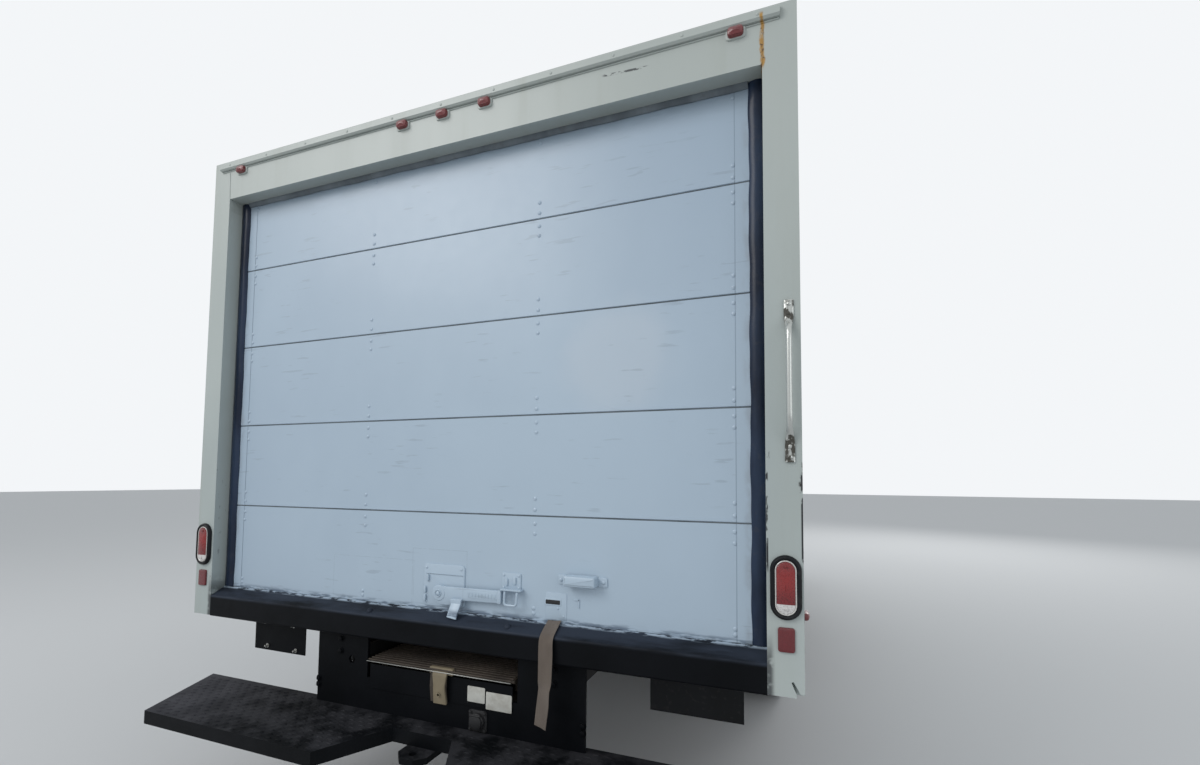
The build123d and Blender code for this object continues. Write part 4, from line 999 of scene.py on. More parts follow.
# %% [markdown]
# The latch is a cast lever on a pressed plate, all drowned in door paint. The lever is one outline with a
# round boss and a taper, raised as a bevelled pad; its grip has nine raised ribs; the tongue that hooks
# over the sill is a flat bar carried along a bent path.

# %% Latch
def flat_bar(width, thickness):
    """Section of a flat bar with its edges taken off."""
    return rounded(width, thickness, thickness * 0.35, 2)


PIVOT_X, PIVOT_Z = -2, 184
base = pad(rounded(187, 160, 14), 4.5, 2).at(7.5, DOOR_FACE, 209)
fold = pad(rounded(168, 3, 1.5, 2), 2.5, 0.8).at(10, DOOR_FACE - 4.2, 252)
boss = lathe([(0, 30), (-16, 30), (-19, 27), (-20, 20), (-20, 0)], "Y", 28).at(PIVOT_X, 66, PIVOT_Z)
lever_outline = soft_outline([(-24, 210), (268, 212), (270, 168), (104, 164), (48, 142), (0, 142),
                              (-28, 164)], 12)[::-1]
lever = pad(lever_outline, 11, 2.5).at(0, 60, 0)
grip_ribs = pad(rounded(5, 17, 2, 2), 2.2, 1.0).repeated([(x, 49.3, 190) for x in range(132, 246, 14)])
grip_frame = pad(rounded(128, 27, 5), 1.2, 0.6).at(190, 49.6, 190)
end_cap = pad(rounded(16, 48, 4), 15, 2.5).at(262, 61, 190)
ring = lathe([(0, 14), (-3, 14), (-4, 12.5), (-3, 10.5), (0, 10.5)], "Y", 24).at(PIVOT_X, 46.5, PIVOT_Z)
pin = lathe([(0, 9), (-4, 8), (-6, 5), (-6.4, 0)], "Y", 20).at(PIVOT_X, 47, PIVOT_Z)
tongue_path = bent([(84, 50, 168), (84, 38, 150), (82, 26, 126), (79, 20, 104)], 10)
tongue = carry(tongue_path, flat_bar(42, 7), (1, 0, 0))
tongue_ear = pad(soft_outline([(58, 170), (108, 170), (104, 142), (62, 142)], 6)[::-1], 5, 1.5).at(0, 42, 0)
screws = screw_head(5).repeated([(x, DOOR_FACE - 4.6, z) for x in (-72, 86) for z in (144, 274)])
clip = pad(rounded(10, 26, 4), 7, 2).repeated([(-64, 66, 236), (-76, 66, 190), (-76, 66, 158)])
piece("door_latch_fine",
      (base + fold + boss + lever + grip_frame + grip_ribs + end_cap + ring + pin + tongue + tongue_ear
        + screws + clip, "door_paint"), instead_of="door_latch")

# %% [markdown]
# The keeper is a small plate with a ledge, two slots and a loop for a padlock. Beside it are the pull
# strap's anchor plate with its slot, and the lift handle: a deep bar between two flat feet.

# %% Keeper, lift handle and anchor plate
keeper = pad(rounded(78, 62, 6), 4.5, 1.5).at(301, DOOR_FACE, 246)
ledge = brick(268, 352, 42, 68, 216, 222, 1.5)
loop = tube([(286, 64, 218), (286, 46, 212), (286, 44, 166), (336, 44, 166), (336, 46, 212),
             (336, 64, 218)], 4.5, 12, 8)
hooks = pad(rounded(12, 26, 4), 6, 2).repeated([(282, 67, 244), (316, 67, 250)])
keeper_screws = screw_head(5).repeated([(x, 66.5, z) for x in (270, 332) for z in (224, 268)])
piece("latch_keeper_fine", (keeper + ledge + loop + hooks + keeper_screws, "door_paint"),
      instead_of="latch_keeper")

grip = pad(rounded(118, 38, 8), 38, 9).at(580, DOOR_FACE - 4, 270)
feet = pad(rounded(36, 34, 8), 5, 2).repeated([(505, DOOR_FACE, 269), (654, DOOR_FACE, 269)])
foot_screws = screw_head(7).repeated([(500, DOOR_FACE - 5, 268), (659, DOOR_FACE - 5, 269)])
piece("lift_handle_fine", (grip + feet + foot_screws, "door_paint"), instead_of="lift_handle")

anchor = pad(rounded(82, 96, 5), 1.4, 0.6).at(480, DOOR_FACE, 172)
slot_frame = pad(rounded(66, 26, 4), 2.4, 0.8).at(468, DOOR_FACE, 187)
slot_hole = pad(rounded(56, 15, 3), 2.9, 0.2).at(468, DOOR_FACE, 187)
corner_plate = pad(rounded(22, 5, 2, 2), 3, 0.6).at(558, DOOR_FACE, 201)
corner_plate = corner_plate + pad(rounded(5, 30, 2, 2), 3, 0.6).at(567, DOOR_FACE, 189)
anchor_screws = screw_head(4.5).repeated([(488, DOOR_FACE - 1.4, 166), (510, DOOR_FACE - 1.4, 140)])
piece("strap_anchor", (anchor + slot_frame + corner_plate + anchor_screws, "door_paint"),
      (slot_hole, "dark_plastic"))

# %% [markdown]
# ## Seals
# Along each side of the door runs a rubber lip, fixed to the post and bearing on the panels. Its section is
# a soft hook. Carried straight it looks like plastic, so the lip wanders by a millimetre or two on its way
# up, from a sum of two sines.

# %% Seals
def seal_strip(length_from, length_to, steps):
    """Lip with a wandering edge: points = (across(s, t), out(s), t) for a profile s and height t."""
    lip = np.array([(47, -8), (36, -13), (22, -14.5), (8, -11), (0, -4), (1.5, 0), (47, 0)], float)
    t = np.linspace(length_from, length_to, steps)
    wander = 1.3 * np.sin(t / 61) + 0.9 * np.sin(t / 23 + 1)
    weight = 1 - lip[:, 0] / 47
    across = lip[None, :, 0] + wander[:, None] * weight[None]
    out = np.repeat(lip[None, :, 1], steps, axis=0)
    return np.stack([across, out, np.repeat(t[:, None], len(lip), axis=1)], axis=-1)


upright = seal_strip(DOOR_FOOT, 1913, 90)
side_seal = skin(upright + np.array([1145, DOOR_FACE - 0.4, 0]))
across_top = seal_strip(-1144, 1144, 90)
head = np.stack([across_top[..., 2], across_top[..., 1] + DOOR_FACE - 0.4,
                 1896 + across_top[..., 0] * 0.75], axis=-1)
piece("door_seals_fine", (side_seal.both(), "seal_rubber"), (skin(head), "head_strip"),
      instead_of="door_seals")

# %% [markdown]
# ## Lamps
# A tail lamp is three things: a thick black rubber ring, the thin pale rim of the lamp body, and the lens,
# which bulges. All three follow the same stadium outline, so the ring is a section carried round it and the
# lens a domed pad inside it. Two moulded nubs sit at its top and bottom.

# %% Tail lamps
def around(outline, profile):
    """Closed ring: a profile of (outwards, rearwards) pairs carried round an outline."""
    rows = [upright_at(inset(outline, -out), -rear) for out, rear in profile + profile[:1]]
    return skin(rows, ends=False)


LAMP_X, LAMP_Z = 1246.5, 312
opening = rounded(59, 157, 29.5, 12)
rubber_ring = around(opening, [(0.6, 0.2), (0.6, 9), (3, 12.5), (8, 14), (12.5, 11), (14.4, 6), (14.5, 0.2)])
rim = around(opening, [(-3.4, 0.2), (-3.4, 11), (-1.5, 12.6), (0.3, 11.5), (0.3, 0.2)])
tail_glass = pad(inset(opening, 3.5), 13, 3, 4.5, 6)
nubs = pad(rounded(14, 6, 3), 3, 1.2).repeated([(0, -14.5, 60), (0, -14.5, -60)])
lamp_cells = (tail_glass + nubs).at(LAMP_X, 0, LAMP_Z).both()
piece("tail_lamps",
      (rubber_ring.at(LAMP_X, 0, LAMP_Z).both(), "rubber"),
      (rim.at(LAMP_X, 0, LAMP_Z).both(), "lens_pale"), instead_of="lamp_rings")

reflector_form = pad(rounded(47, 70, 7), 7, 3, 0.8).at(LAMP_X, 0, 162).both()
MARKERS = [-1113, -191, 0, 191, 1113]
marker_base = pad(rounded(62, 38, 10), 5, 2).repeated([(x, 0, 2036) for x in MARKERS])
marker_lens = pad(rounded(50, 30, 11), 17, 7, 3.5, 4).repeated([(x, -3, 2036) for x in MARKERS])
piece("lamp_lenses_fine", (lamp_cells, "tail_lens"),
      (reflector_form, "reflector_red"), (marker_lens, "marker_red"),
      (marker_base, "body_paint"), instead_of="lamp_lenses")

# %% [markdown]
# ## Grab handle
# One forged bar: round in the middle, where it is polished by hands, and beaten flat at both ends into feet
# with two screws each. The section changes along the path, from a flat stadium to a circle and back.

# %% Grab handle
HANDLE_X = 1262.0
handle_path = bent([(HANDLE_X, -3.5, 676), (HANDLE_X, -4, 742), (HANDLE_X, -34, 790),
                    (HANDLE_X, -38, 1060), (HANDLE_X, -4, 1100), (HANDLE_X, -3.5, 1160)], 26, 6)
rise = handle_path[:, 2]
flatness = np.clip(np.maximum((775 - rise) / 45, (rise - 1070) / 40), 0, 1) ** 0.8
round_bar = circle(1.0, 16)
wide = 8.5 + flatness * 5.5
thick = 8.5 - flatness * 5.2
bar = carry(handle_path, round_bar[None] * np.stack([wide, thick], axis=-1)[:, None], (1, 0, 0))
handle_screws = screw_head(7, 4).repeated([(HANDLE_X, -6.6, z) for z in (690, 722, 1118, 1147)])
piece("grab_handle_fine", (bar + handle_screws, "handle_steel"), instead_of="grab_handle")

# %% [markdown]
# ## Header, drip rail and sill
# Sealant is laid under the drip rail and along the header's joints; it is a thin bead that wavers, so it is
# a tube whose radius is noise. The sill has two round bolt heads on its slope.

# %% Sealant, soffit strip and sill bolts
rng = np.random.default_rng(7)


def bead(start, end, radius, steps=90):
    """Sealant between two points, with a radius that wavers."""
    path = np.linspace(start, end, steps)
    waver = np.convolve(rng.uniform(0.55, 1.35, steps + 6), np.ones(5) / 5, "same")[3:steps + 3]
    return carry(path, circle(1.0, 7)[None] * (radius * waver)[:, None, None], (0.02, 0.3, 1))


sealant = bead((-1244, -1, 2048), (1244, -1, 2048), 3.0)
sealant = sealant + bead((-1192, 3, 1915.5), (1192, 3, 1915.5), 1.6)
weld = bead((1192, -0.2, 1916), (1196, -0.2, 2040), 2.0, 30)
weld = weld + weld.mirrored()
header_screws = screw_head(5, 2).repeated([(x, -16.2, 2068) for x in range(-1180, 1181, 236)])
piece("header_trim", (sealant + weld + header_screws, "body_paint"))

slope_bolt = lathe([(-1, 12), (2, 12), (6, 9), (8, 4), (8.4, 0)], "Z", 16).turned(27, "X")
piece("sill_bolts", (slope_bolt.repeated([(-304, 22, 96), (314, 23, 97)]), "black_steel"))

# %% [markdown]
# ## Pull strap
# The strap comes out under the door, bends over the sill and hangs, turning as it falls. It is a ribbon
# whose width direction is turned by an angle a(s) along its centre line, so its flat size is simply its
# width times the length of that line.

# %% Pull strap
STRAP_WIDTH, STRAP_THICK = 49.0, 2.4
strap_line = bent([(478, 66, 123), (480, 40, 112), (481, 2, 92), (482, -13, 76), (485, -19, 20),
                   (485, -21, -60), (479, -20, -130), (469, -18, -206)], 22, 9)
steps = np.linalg.norm(np.diff(strap_line, axis=0), axis=1)
run = np.concatenate([[0], np.cumsum(steps)]) / steps.sum()
angle = np.radians(np.interp(run, [0, 0.22, 0.36, 0.6, 0.67, 0.8, 1.0], [0, -3, -9, 2, 20, 12, 15]))
ahead = unit(np.gradient(strap_line, axis=0))
across = np.stack([np.cos(angle), -np.sin(angle), np.zeros_like(angle)], axis=-1)
across = unit(across - ahead * (across * ahead).sum(axis=1, keepdims=True))
outward = np.cross(ahead, across)
share = np.linspace(-0.5, 0.5, 7)
curl = (share ** 2 - 0.08) * 7.0
front_face = (strap_line[:, None] + across[:, None] * share[None, :, None] * STRAP_WIDTH
              + outward[:, None] * curl[None, :, None])
back_face = front_face + outward[:, None] * STRAP_THICK
section = np.concatenate([front_face, back_face[:, ::-1]], axis=1)
strap = piece("pull_strap_fine", (skin(section), "webbing"), instead_of="pull_strap")
strap_length = steps.sum() * MM
weave = strap.data.uv_layers.new(name="cloth")
points = points_of(strap.data)
centre = strap_line * MM + BACK
nearest = np.argmin(((points[:, None] - centre[None]) ** 2).sum(axis=-1), axis=1)
across_metres = ((points - centre[nearest]) * across[nearest]).sum(axis=1)
corner = np.empty(len(strap.data.loops), dtype=np.int32)
strap.data.loops.foreach_get("vertex_index", corner)
flat_places = np.stack([across_metres + STRAP_WIDTH * MM / 2, run[nearest] * strap_length], axis=-1)
weave.data.foreach_set("uv", flat_places[corner].ravel())
print("strap", STRAP_WIDTH, "mm by", round(strap_length * 1000), "mm")

# %% [markdown]
# ## Ramp end, labels and the small things on the cross plate
# The ramp's top is extruded in narrow ribs across the truck, brown with road dirt, with a bright worn lip
# at its end. The beige catch in the middle of it holds it shut. A dark plate closes its end and carries two
# blank labels; below it, on the cross plate, are a trailer socket with its spring lid and a pair of bolts.

# %% Ramp, labels and socket
rib = brick(-322, 322, -3.5, 3.5, -0.5, 6, 1.8)
ribs = rib.repeated([(0, y, min(748 + (y - 34) / 15, 752)) for y in range(43, 3250, 18)])
piece("ramp_ribs", (ribs, "ramp_metal"), on=GROUND, body="ramp")
edge_bar = brick(-324, 324, 32.6, 36, 745.4, 748.6, 0.8)
end_plate = brick(-322, 322, 52, 55, 636, 730, 1)
piece("ramp_lip", (edge_bar, "bare_steel"), (end_plate, "black_steel"), on=GROUND, body="ramp")

catch_top = pad(rounded(104, 26, 5), 13, 3).at(22, 56, 748)
catch_path = bent([(24, 52, 748), (24, 34, 744), (24, 32, 690), (24, 41, 632)], 12)
catch_width = np.interp(catch_path[:, 2], [632, 700, 748], [58, 50, 66])
catch_sections = flat_bar(1.0, 0.11)[None] * np.stack([catch_width, np.full_like(catch_width, 80)],
                                                      axis=-1)[:, None]
catch = carry(catch_path, catch_sections, (1, 0, 0))
catch_ring = lathe([(0, 8), (-3, 8), (-3.6, 6.5), (-3, 5), (0, 5)], "Y", 16).at(24, 28, 668)
piece("ramp_catch", (catch_top + catch + catch_ring, "beige"), on=GROUND, body="ramp")

PLATE_FACE = 56.0
small_label = pad(rounded(74, 56, 4), 1.0, 0.3).at(172, 52, -169)
wide_label = pad(rounded(106, 62, 4), 1.0, 0.3).at(267, 52, -183)
piece("plate_labels", (small_label + wide_label, "label"), body="ramp")

socket_body = lathe([(0.5, 30), (-14, 30), (-17, 27), (-17, 20), (-8, 19), (-8, 0)], "Y", 26)
lid = pad(rounded(50, 44, 18, 6), 5, 2).at(0, -19, 2)
hinge = tube([(-22, -22, 26), (22, -22, 26)], 4, 1, 8, (0, 1, 0.1))
flange = pad(rounded(76, 76, 10), 4, 1.5)
flange_bolts = hex_bolt(5).repeated([(sx * 30, -4, sz * 30) for sx in (-1, 1) for sz in (-1, 1)])
socket = (socket_body + lid + hinge + flange + flange_bolts).at(180, PLATE_FACE, -262)
plate_bolts = (hex_bolt(9).repeated([(592, PLATE_FACE, z) for z in (-213, -237)])
               + hex_bolt(10).repeated([(480, PLATE_FACE, z) for z in (-40, -90)])).both()
piece("trailer_socket", (socket, "dark_plastic"), (plate_bolts, "black_steel"))

# %% [markdown]
# ## Step and flaps
# The step's top is pressed with rows of oval bumps so that a wet boot holds. One bump is a domed pad laid
# flat, and the places are a staggered grid cut to the step's outline: the notch is a straight line on each
# side, so a place is kept when it lies outside the one and inside the other, and not under the cross plate.

# %% Step grip
STEP_Z, STEP_REAR = 548.0, -270
NOTCH_HALF, NOTCH_SLOPE, NOTCH_END = 262, 132 / 240, -30
OUTER_HALF, OUTER_SLOPE = 1135, 155 / 365
PLATE_FROM_Y, PLATE_HALF = 30, 612
bump = pad(rounded(27, 9, 4.5, 3), 1.0, 0.4, 2.2, 2).turned(-90, "X")
rows = np.arange(-252, 84, 24.0)
places = []
for number, y in enumerate(rows):
    ahead_of_edge = y - STEP_REAR
    inner = NOTCH_HALF - ahead_of_edge * NOTCH_SLOPE + 24 if y < NOTCH_END else 22
    outer = OUTER_HALF + ahead_of_edge * OUTER_SLOPE - 26
    for x in np.arange(20 + (number % 2) * 23, 1300, 46.0):
        if inner < x < outer and not (y > PLATE_FROM_Y and x < PLATE_HALF):
            places += [(x, y, STEP_Z - 0.4), (-x, y, STEP_Z - 0.4)]
piece("step_grip", (bump.repeated(places), "black_steel"), on=GROUND)
print(len(places), "bumps on the step")

# %% [markdown]
# The plate bracket on the left hangs on long studs whose ends show. Each flap is pinched under a bar with
# four bolts, and a stay reaches out to its edge.

# %% Bracket studs and flap clamps
studs = (hex_bolt(6) + lathe([(0, 4), (-14, 4), (-15, 3), (-15, 0)], "Y", 10)).repeated(
    [(-946, 80, -24), (-774, 80, -26), (-927, 80, -126), (-759, 80, -130)])
piece("bracket_studs", (studs, "bare_steel"))
clamp = brick(690, 1066, 586, 592, 800, 832, 2)
clamp_bolts = hex_bolt(8).repeated([(x, 586, 816) for x in (720, 830, 930, 1036)])
stay_tip = lathe([(0, 0), (0, 7), (22, 7), (24, 5), (24, 0)], "X", 12).at(1104, 588, 644)
piece("flap_clamps", ((clamp + clamp_bolts).both(), "frame_steel"),
      (stay_tip.both(), "cast_parts"), on=GROUND)

# %% [markdown]
# ## Body sides and roof
# The sides are aluminium sheets riveted to posts. Where two sheets meet, a lap strip covers the joint with
# a rivet row on each side, and every post between shows one sparse row. All of them are one eight-sided
# dome, repeated by array and mirrored.

# %% Side sheets
SKIN_X = 1289.5
LAPS = (1350, 2570, 3790)
SHEET_FOOT, SHEET_TOP, RAIL_ROWS = 980, 2848, (2868, 2902)
POSTS = [y for y in range(536, 4700, 407) if min(abs(y - lap) for lap in LAPS) > 90]

side_rivet = lathe([(-0.5, 5.5), (0.9, 5.0), (2.0, 3.0), (2.4, 0)], "X", 8)
lap_strips = joined(brick(SKIN_X - 1, SKIN_X + 1.4, y - 22, y + 22, SHEET_FOOT, SHEET_TOP, 0.6) for y in LAPS)
lap_places = [(SKIN_X + 1.4, y + offset, z) for y in LAPS for offset in (-12, 12)
              for z in np.arange(SHEET_FOOT + 20, SHEET_TOP - 8, 58)]
post_places = [(SKIN_X, y, z) for y in POSTS for z in np.arange(SHEET_FOOT + 30, SHEET_TOP - 8, 152)]
rail_places = [(SKIN_X + 5, y, z) for y in np.arange(170, 4790, 76) for z in RAIL_ROWS]
side_work = (lap_strips + side_rivet.repeated(lap_places + post_places + rail_places)).both()
piece("side_rivets", (side_work, "panel_paint"), on=GROUND)
print("rivets a side:", len(lap_places) + len(post_places) + len(rail_places))

# %% [markdown]
# Bolts hold the rub rail at the sides' foot. The roof sheet is tied down by bows that follow its crown,
# z = h (1 - (x / w)^2), and small oval lamps mark the body's corners, each a domed pad on a flat base.

# %% Rub rail, roof bows and clearance lamps
rail_bolt = lathe([(-0.5, 11), (3, 11), (6, 8), (7, 3), (7, 0)], "X", 14)
rub_bolts = rail_bolt.repeated([(SKIN_X + 2.6, y, 920) for y in np.arange(240, 4780, 302)])
rail_ends = brick(SKIN_X, SKIN_X + 6, 131, 150, 864, 976, 1.5)
piece("rub_rail_bolts", ((rub_bolts + rail_ends).both(), "bare_steel"), on=GROUND)

ROOF_EDGE_Z, CROWN, FRONT_WALL_Y = 2929.6, 16, 4876.5
roof_x = np.linspace(-1286, 1286, 60)
roof_z = ROOF_EDGE_Z + CROWN * (1 - (roof_x / SKIN_X) ** 2)
roof_arc = np.stack([roof_x, roof_z + 1.2], axis=-1)
bows = joined(carry(upright_at(roof_arc, y), flat_bar(34, 4), (0, 1, 0)) for y in (140, *LAPS, 4866))
roof_rivet = lathe([(-0.5, 5.5), (1.2, 5), (2.4, 3), (2.8, 0)], "Z", 8)
roof_places = [(sign * 1268, y, 2930.4) for sign in (-1, 1) for y in np.arange(180, 4860, 90)]
piece("roof_bows", (bows + roof_rivet.repeated(roof_places), "panel_paint"), on=GROUND)


def small_lamp(turn):
    """Oval clearance lamp on its base, looking to the rear, then turned about Z."""
    base = pad(rounded(84, 40, 14), 7, 2.5).turned(turn, "Z")
    cover = pad(rounded(66, 26, 12), 22, 8, 3).turned(turn, "Z")
    return base, cover


front_base, front_cover = small_lamp(180)
side_base, side_cover = small_lamp(90)
front_places = [(x, FRONT_WALL_Y, 2866) for x in (-1140, -191, 0, 191, 1140)]
amber_places = [(SKIN_X + 4.5, 4560, 2820), (SKIN_X + 2.5, 4560, 1010), (SKIN_X + 2.5, 2300, 1010)]
red_places = [(SKIN_X + 2.5, 330, 1010)]
bases = front_base.repeated(front_places) + side_base.repeated(amber_places + red_places).both()
amber = front_cover.repeated(front_places) + side_cover.repeated(amber_places).both()
piece("clearance_lamps", (bases, "dark_plastic"), (amber, "lens_amber"),
      (side_cover.repeated(red_places).both(), "marker_red"), on=GROUND)

# %% [markdown]
# ## Tyres
# A tyre is one surface of revolution, p(u, a) = (x(u), r cos a, r sin a), whose radius drops where there is
# a groove. The ribs along u give the long grooves; the cross cuts come from the angle number, four steps to
# a block, and shift from rib to rib. So the tread is real geometry with no separate blocks.

# %% Tread tyres
TREAD_STEPS = 232


def tyre(x, wear=0.0):
    """Tyre round the axle's line, its middle at x; the profile is (across, radius, cut)."""
    half = [(86.5, 204, 0), (96, 216, 0), (97, 219, 0), (108, 246, 0), (111.5, 287, 0), (109.5, 322, 0),
            (104, 343, 3), (98, 358, 6), (90, 367.5, 8), (82, 370.6, 8), (60, 371.6, 8), (57, 362, 0),
            (51, 362, 0), (48, 371.8, 4), (26, 372, 4), (23, 362, 0), (17, 362, 0), (14, 372, 3)]
    profile = np.array(half + [(-across, radius, cut) for across, radius, cut in half[::-1]])
    angle = np.linspace(0, 2 * math.pi, TREAD_STEPS, endpoint=False)
    step = np.arange(TREAD_STEPS)
    rib = np.digitize(profile[:, 0], (-54, -20, 20, 54))
    period = np.where((rib == 0) | (rib == 4), 4, 8)
    phase = np.array([0, 3, 6, 1, 2])[rib]
    grooved = ((step[None] + phase[:, None]) % period[:, None]) == 0
    radius = profile[:, 1:2] - grooved * profile[:, 2:3] * (1 - wear)
    across = np.repeat(profile[:, :1], TREAD_STEPS, axis=1)
    grid = np.stack([across + x, radius * np.cos(angle), radius * np.sin(angle)], axis=-1)
    return skin(np.concatenate([grid, grid[:1]]), ends=False)


FRONT_AXLE, REAR_AXLE = (0, FRONT_AXLE_Y, AXLE_Z), (0, REAR_AXLE_Y, AXLE_Z)
FRONT_TRACK, REAR_TRACK, TWIN_OFFSET = 875, 945, 128.5
single = tyre(FRONT_TRACK).at(*FRONT_AXLE)
twins = (tyre(REAR_TRACK + TWIN_OFFSET) + tyre(REAR_TRACK - TWIN_OFFSET)).at(*REAR_AXLE)
for side in SIDES:
    piece("front_tread_" + side, (on_side(single, side), "front_tyre"), on=GROUND,
          body="front_wheel_" + side, instead_of="front_tyre_" + side, crease=30)
    piece("rear_treads_" + side, (on_side(twins, side), "rear_tyre"), on=GROUND,
          body="rear_wheels_" + side, instead_of="rear_tyres_" + side, crease=30)
print("one tyre has", len(single.faces), "faces")

# %% [markdown]
# Wheels carry eight nuts on a bolt circle. On the front the disc stands out and the hub ends in a grease
# cap; on the back the outer wheel is dished and the axle's flange shows with its own bolts. Each nut is a
# six-sided turned form with a washer face, and the ring of them comes from turning one about the axle.

# %% Wheel nuts, hubs and valves
def ring_of(form, count, radius, x):
    """Copies round the axle; the form lies at the origin and points along +X."""
    return joined(form.at(x, 0, radius).turned(360 * number / count, "X") for number in range(count))


nut = (lathe([(0, 0), (0, 21), (4, 21), (5, 18)], "X", 20)
       + lathe([(4, 17), (20, 17), (23, 13), (23, 0)], "X", 6)
       + lathe([(20, 7), (31, 7), (32, 5.5), (32, 0)], "X", 10))
small_nut = lathe([(0, 8), (8, 8), (9, 6), (9, 0)], "X", 6)
valve = tube([(-30, 0, 0), (0, 0, -4), (26, 0, -14)], 4.5, 8, 8, (0, 1, 0))
cap = lathe([(0, 54), (2, 56), (8, 56), (10, 50), (34, 44), (44, 36), (47, 18), (47.5, 0)], "X", 28)
weight = brick(-8, 8, -22, 22, -4, 4, 2)
axle_flange = lathe([(0, 56), (5, 56), (8, 50), (8, 22), (18, 20), (20, 14), (20, 0)], "X", 24)
BOLT_CIRCLE, FLANGE_CIRCLE = 86, 44
front = ring_of(nut, 8, BOLT_CIRCLE, 997) + cap.at(1034, 0, 0) + valve.at(975, 0, 158)
front = (front + weight.at(974, 0, 203).turned(70, "X")).at(*FRONT_AXLE)
rear = ring_of(nut, 8, BOLT_CIRCLE, 961) + ring_of(small_nut, 8, FLANGE_CIRCLE, 1004)
rear = (rear + valve.at(1040, 0, 160) + axle_flange.at(1000, 0, 0)).at(*REAR_AXLE)
for side in SIDES:
    piece("front_nuts_" + side, (on_side(front, side), "bare_steel"), on=GROUND, body="front_wheel_" + side)
    piece("rear_nuts_" + side, (on_side(rear, side), "bare_steel"), on=GROUND, body="rear_wheels_" + side)

# %% [markdown]
# ## Underneath
# From the low view behind the truck the axle, its springs and the ramp's tray show. U-bolts tie the springs
# to the axle, each a round bar bent over the pack, with nuts below their plate. Two dampers lean between
# the axle and the rails, and the axle's bowl is closed by a bolted cover.

# %% Axle, springs and dampers
u_bolt = tube([(455, 0, 288), (455, 0, 524), (545, 0, 524), (545, 0, 288)], 8, 22, 10, (0, 1, 0))
u_bolts = u_bolt.repeated([(0, REAR_AXLE_Y - 62, 0), (0, REAR_AXLE_Y + 62, 0)])
tie_plate = brick(440, 560, REAR_AXLE_Y - 80, REAR_AXLE_Y + 80, 298, 308, 3)
nuts = lathe([(-2, 15), (-14, 15), (-15, 12), (-15, 0)], "Z", 6).repeated(
    [(x, REAR_AXLE_Y + y, 298) for x in (455, 545) for y in (-62, 62)])
clips = tube([(458, 0, 470), (458, 0, 528), (542, 0, 528), (542, 0, 470)], 4, 6, 8, (0, 1, 0))
spring_clips = clips.repeated([(0, REAR_AXLE_Y - 300, 8), (0, REAR_AXLE_Y + 300, 8)])
eye_bolts = (lathe([(0, 16), (10, 16), (12, 12), (12, 0)], "X", 6)
             + lathe([(-2, 22), (1, 22), (1, 0)], "X", 16)).repeated(
                 [(548, REAR_AXLE_Y + y, 571) for y in (-700, 700)])
damper = (tube([(600, 2440, 345), (520, 2700, 600)], 11, 1)
          + tube([(572, 2531, 434), (508, 2738, 638)], 31, 1, 20)
          + tube([(500, 2764, 664), (494, 2784, 684)], 12, 1))
damper_mount = brick(431, 512, 2755, 2805, 655, 715, 3)
rear_set = u_bolts + tie_plate + nuts + spring_clips + eye_bolts + damper + damper_mount
piece("axle_fittings", (rear_set.both(), "frame_steel"), on=GROUND)

cover = lathe([(0, 138), (-16, 138), (-20, 132), (-20, 118), (-36, 104), (-45, 60), (-47, 0)], "Y", 36)
cover_bolts = joined(hex_bolt(8, 6).at(0, -19, 126).turned(turn, "Y") for turn in range(0, 360, 30))
brake_line = tube([(-660, REAR_AXLE_Y - 70, 395), (-300, REAR_AXLE_Y - 74, 440), (0, REAR_AXLE_Y - 120, 548),
                   (300, REAR_AXLE_Y - 74, 440), (660, REAR_AXLE_Y - 70, 395)], 4, 60, 8, (0, 1, 0))
piece("axle_cover", ((cover + cover_bolts).at(0, REAR_AXLE_Y - 124, AXLE_Z), "cast_parts"),
      (brake_line, "bare_steel"), on=GROUND)

# %% [markdown]
# The exhaust's silencer has three bands and its pipe three clamps, and the tail pipe ends in a sleeve with
# a dark bore. The loom is a tube held by clips along the rail, and the ramp slides into a sheet-metal tray.

# %% Exhaust, tank cap, loom and ramp tray
EXHAUST_X, LOOM_X = 620, 446
band = lathe([(-14, 100), (-14, 104), (14, 104), (14, 100)], "Y", 32, closed=True)
pipe_clamp = lathe([(-12, 31), (-12, 37), (12, 37), (12, 31)], "Y", 24, closed=True)
bands = band.repeated([(EXHAUST_X, y, 570) for y in (3740, 4000, 4260)])
clamps = pipe_clamp.repeated([(EXHAUST_X, y, 560) for y in (3560, 4420, 5100)])
piece("exhaust_clamps", (bands + clamps, "cast_parts"), on=GROUND)


def at_outlet(form):
    """From along X to the end of the tail pipe, which points out and a little down."""
    return form.turned(5.9, "Y").turned(-8.1, "Z").at(1109.5, 3190, 500)


sleeve = lathe([(-46, 31.5), (-46, 35), (14, 35), (14, 31.5)], "X", 28, closed=True)
bore = lathe([(0.2, 31.2), (1.4, 31.2), (1.4, 0)], "X", 28)
piece("tail_pipe_tip", (at_outlet(sleeve), "cast_parts"), (at_outlet(bore), "rubber"), on=GROUND)
tank_cap = lathe([(0, 44), (-8, 44), (-8, 34), (-26, 34), (-29, 30), (-29, 0)], "X", 24).at(-935, 4120, 700)
piece("tank_cap", (tank_cap, "dark_plastic"), on=GROUND)
loom = tube([(LOOM_X, 120, 706), (LOOM_X, 2000, 712), (LOOM_X, 4250, 706)], 9, 60, 8)
loom_clips = brick(432, 458, -8, 8, -14, 14, 3).repeated([(0, y, 709) for y in range(300, 4200, 330)])
piece("wiring_loom", (loom + loom_clips, "dark_plastic"), on=GROUND)
tray = brick(-372, 372, 72, 640, 668, 674, 2) + brick(-372, 372, 630, 642, 660, 684, 2)
tray_sides = brick(352, 372, 70, 640, 674, 800, 3).both()
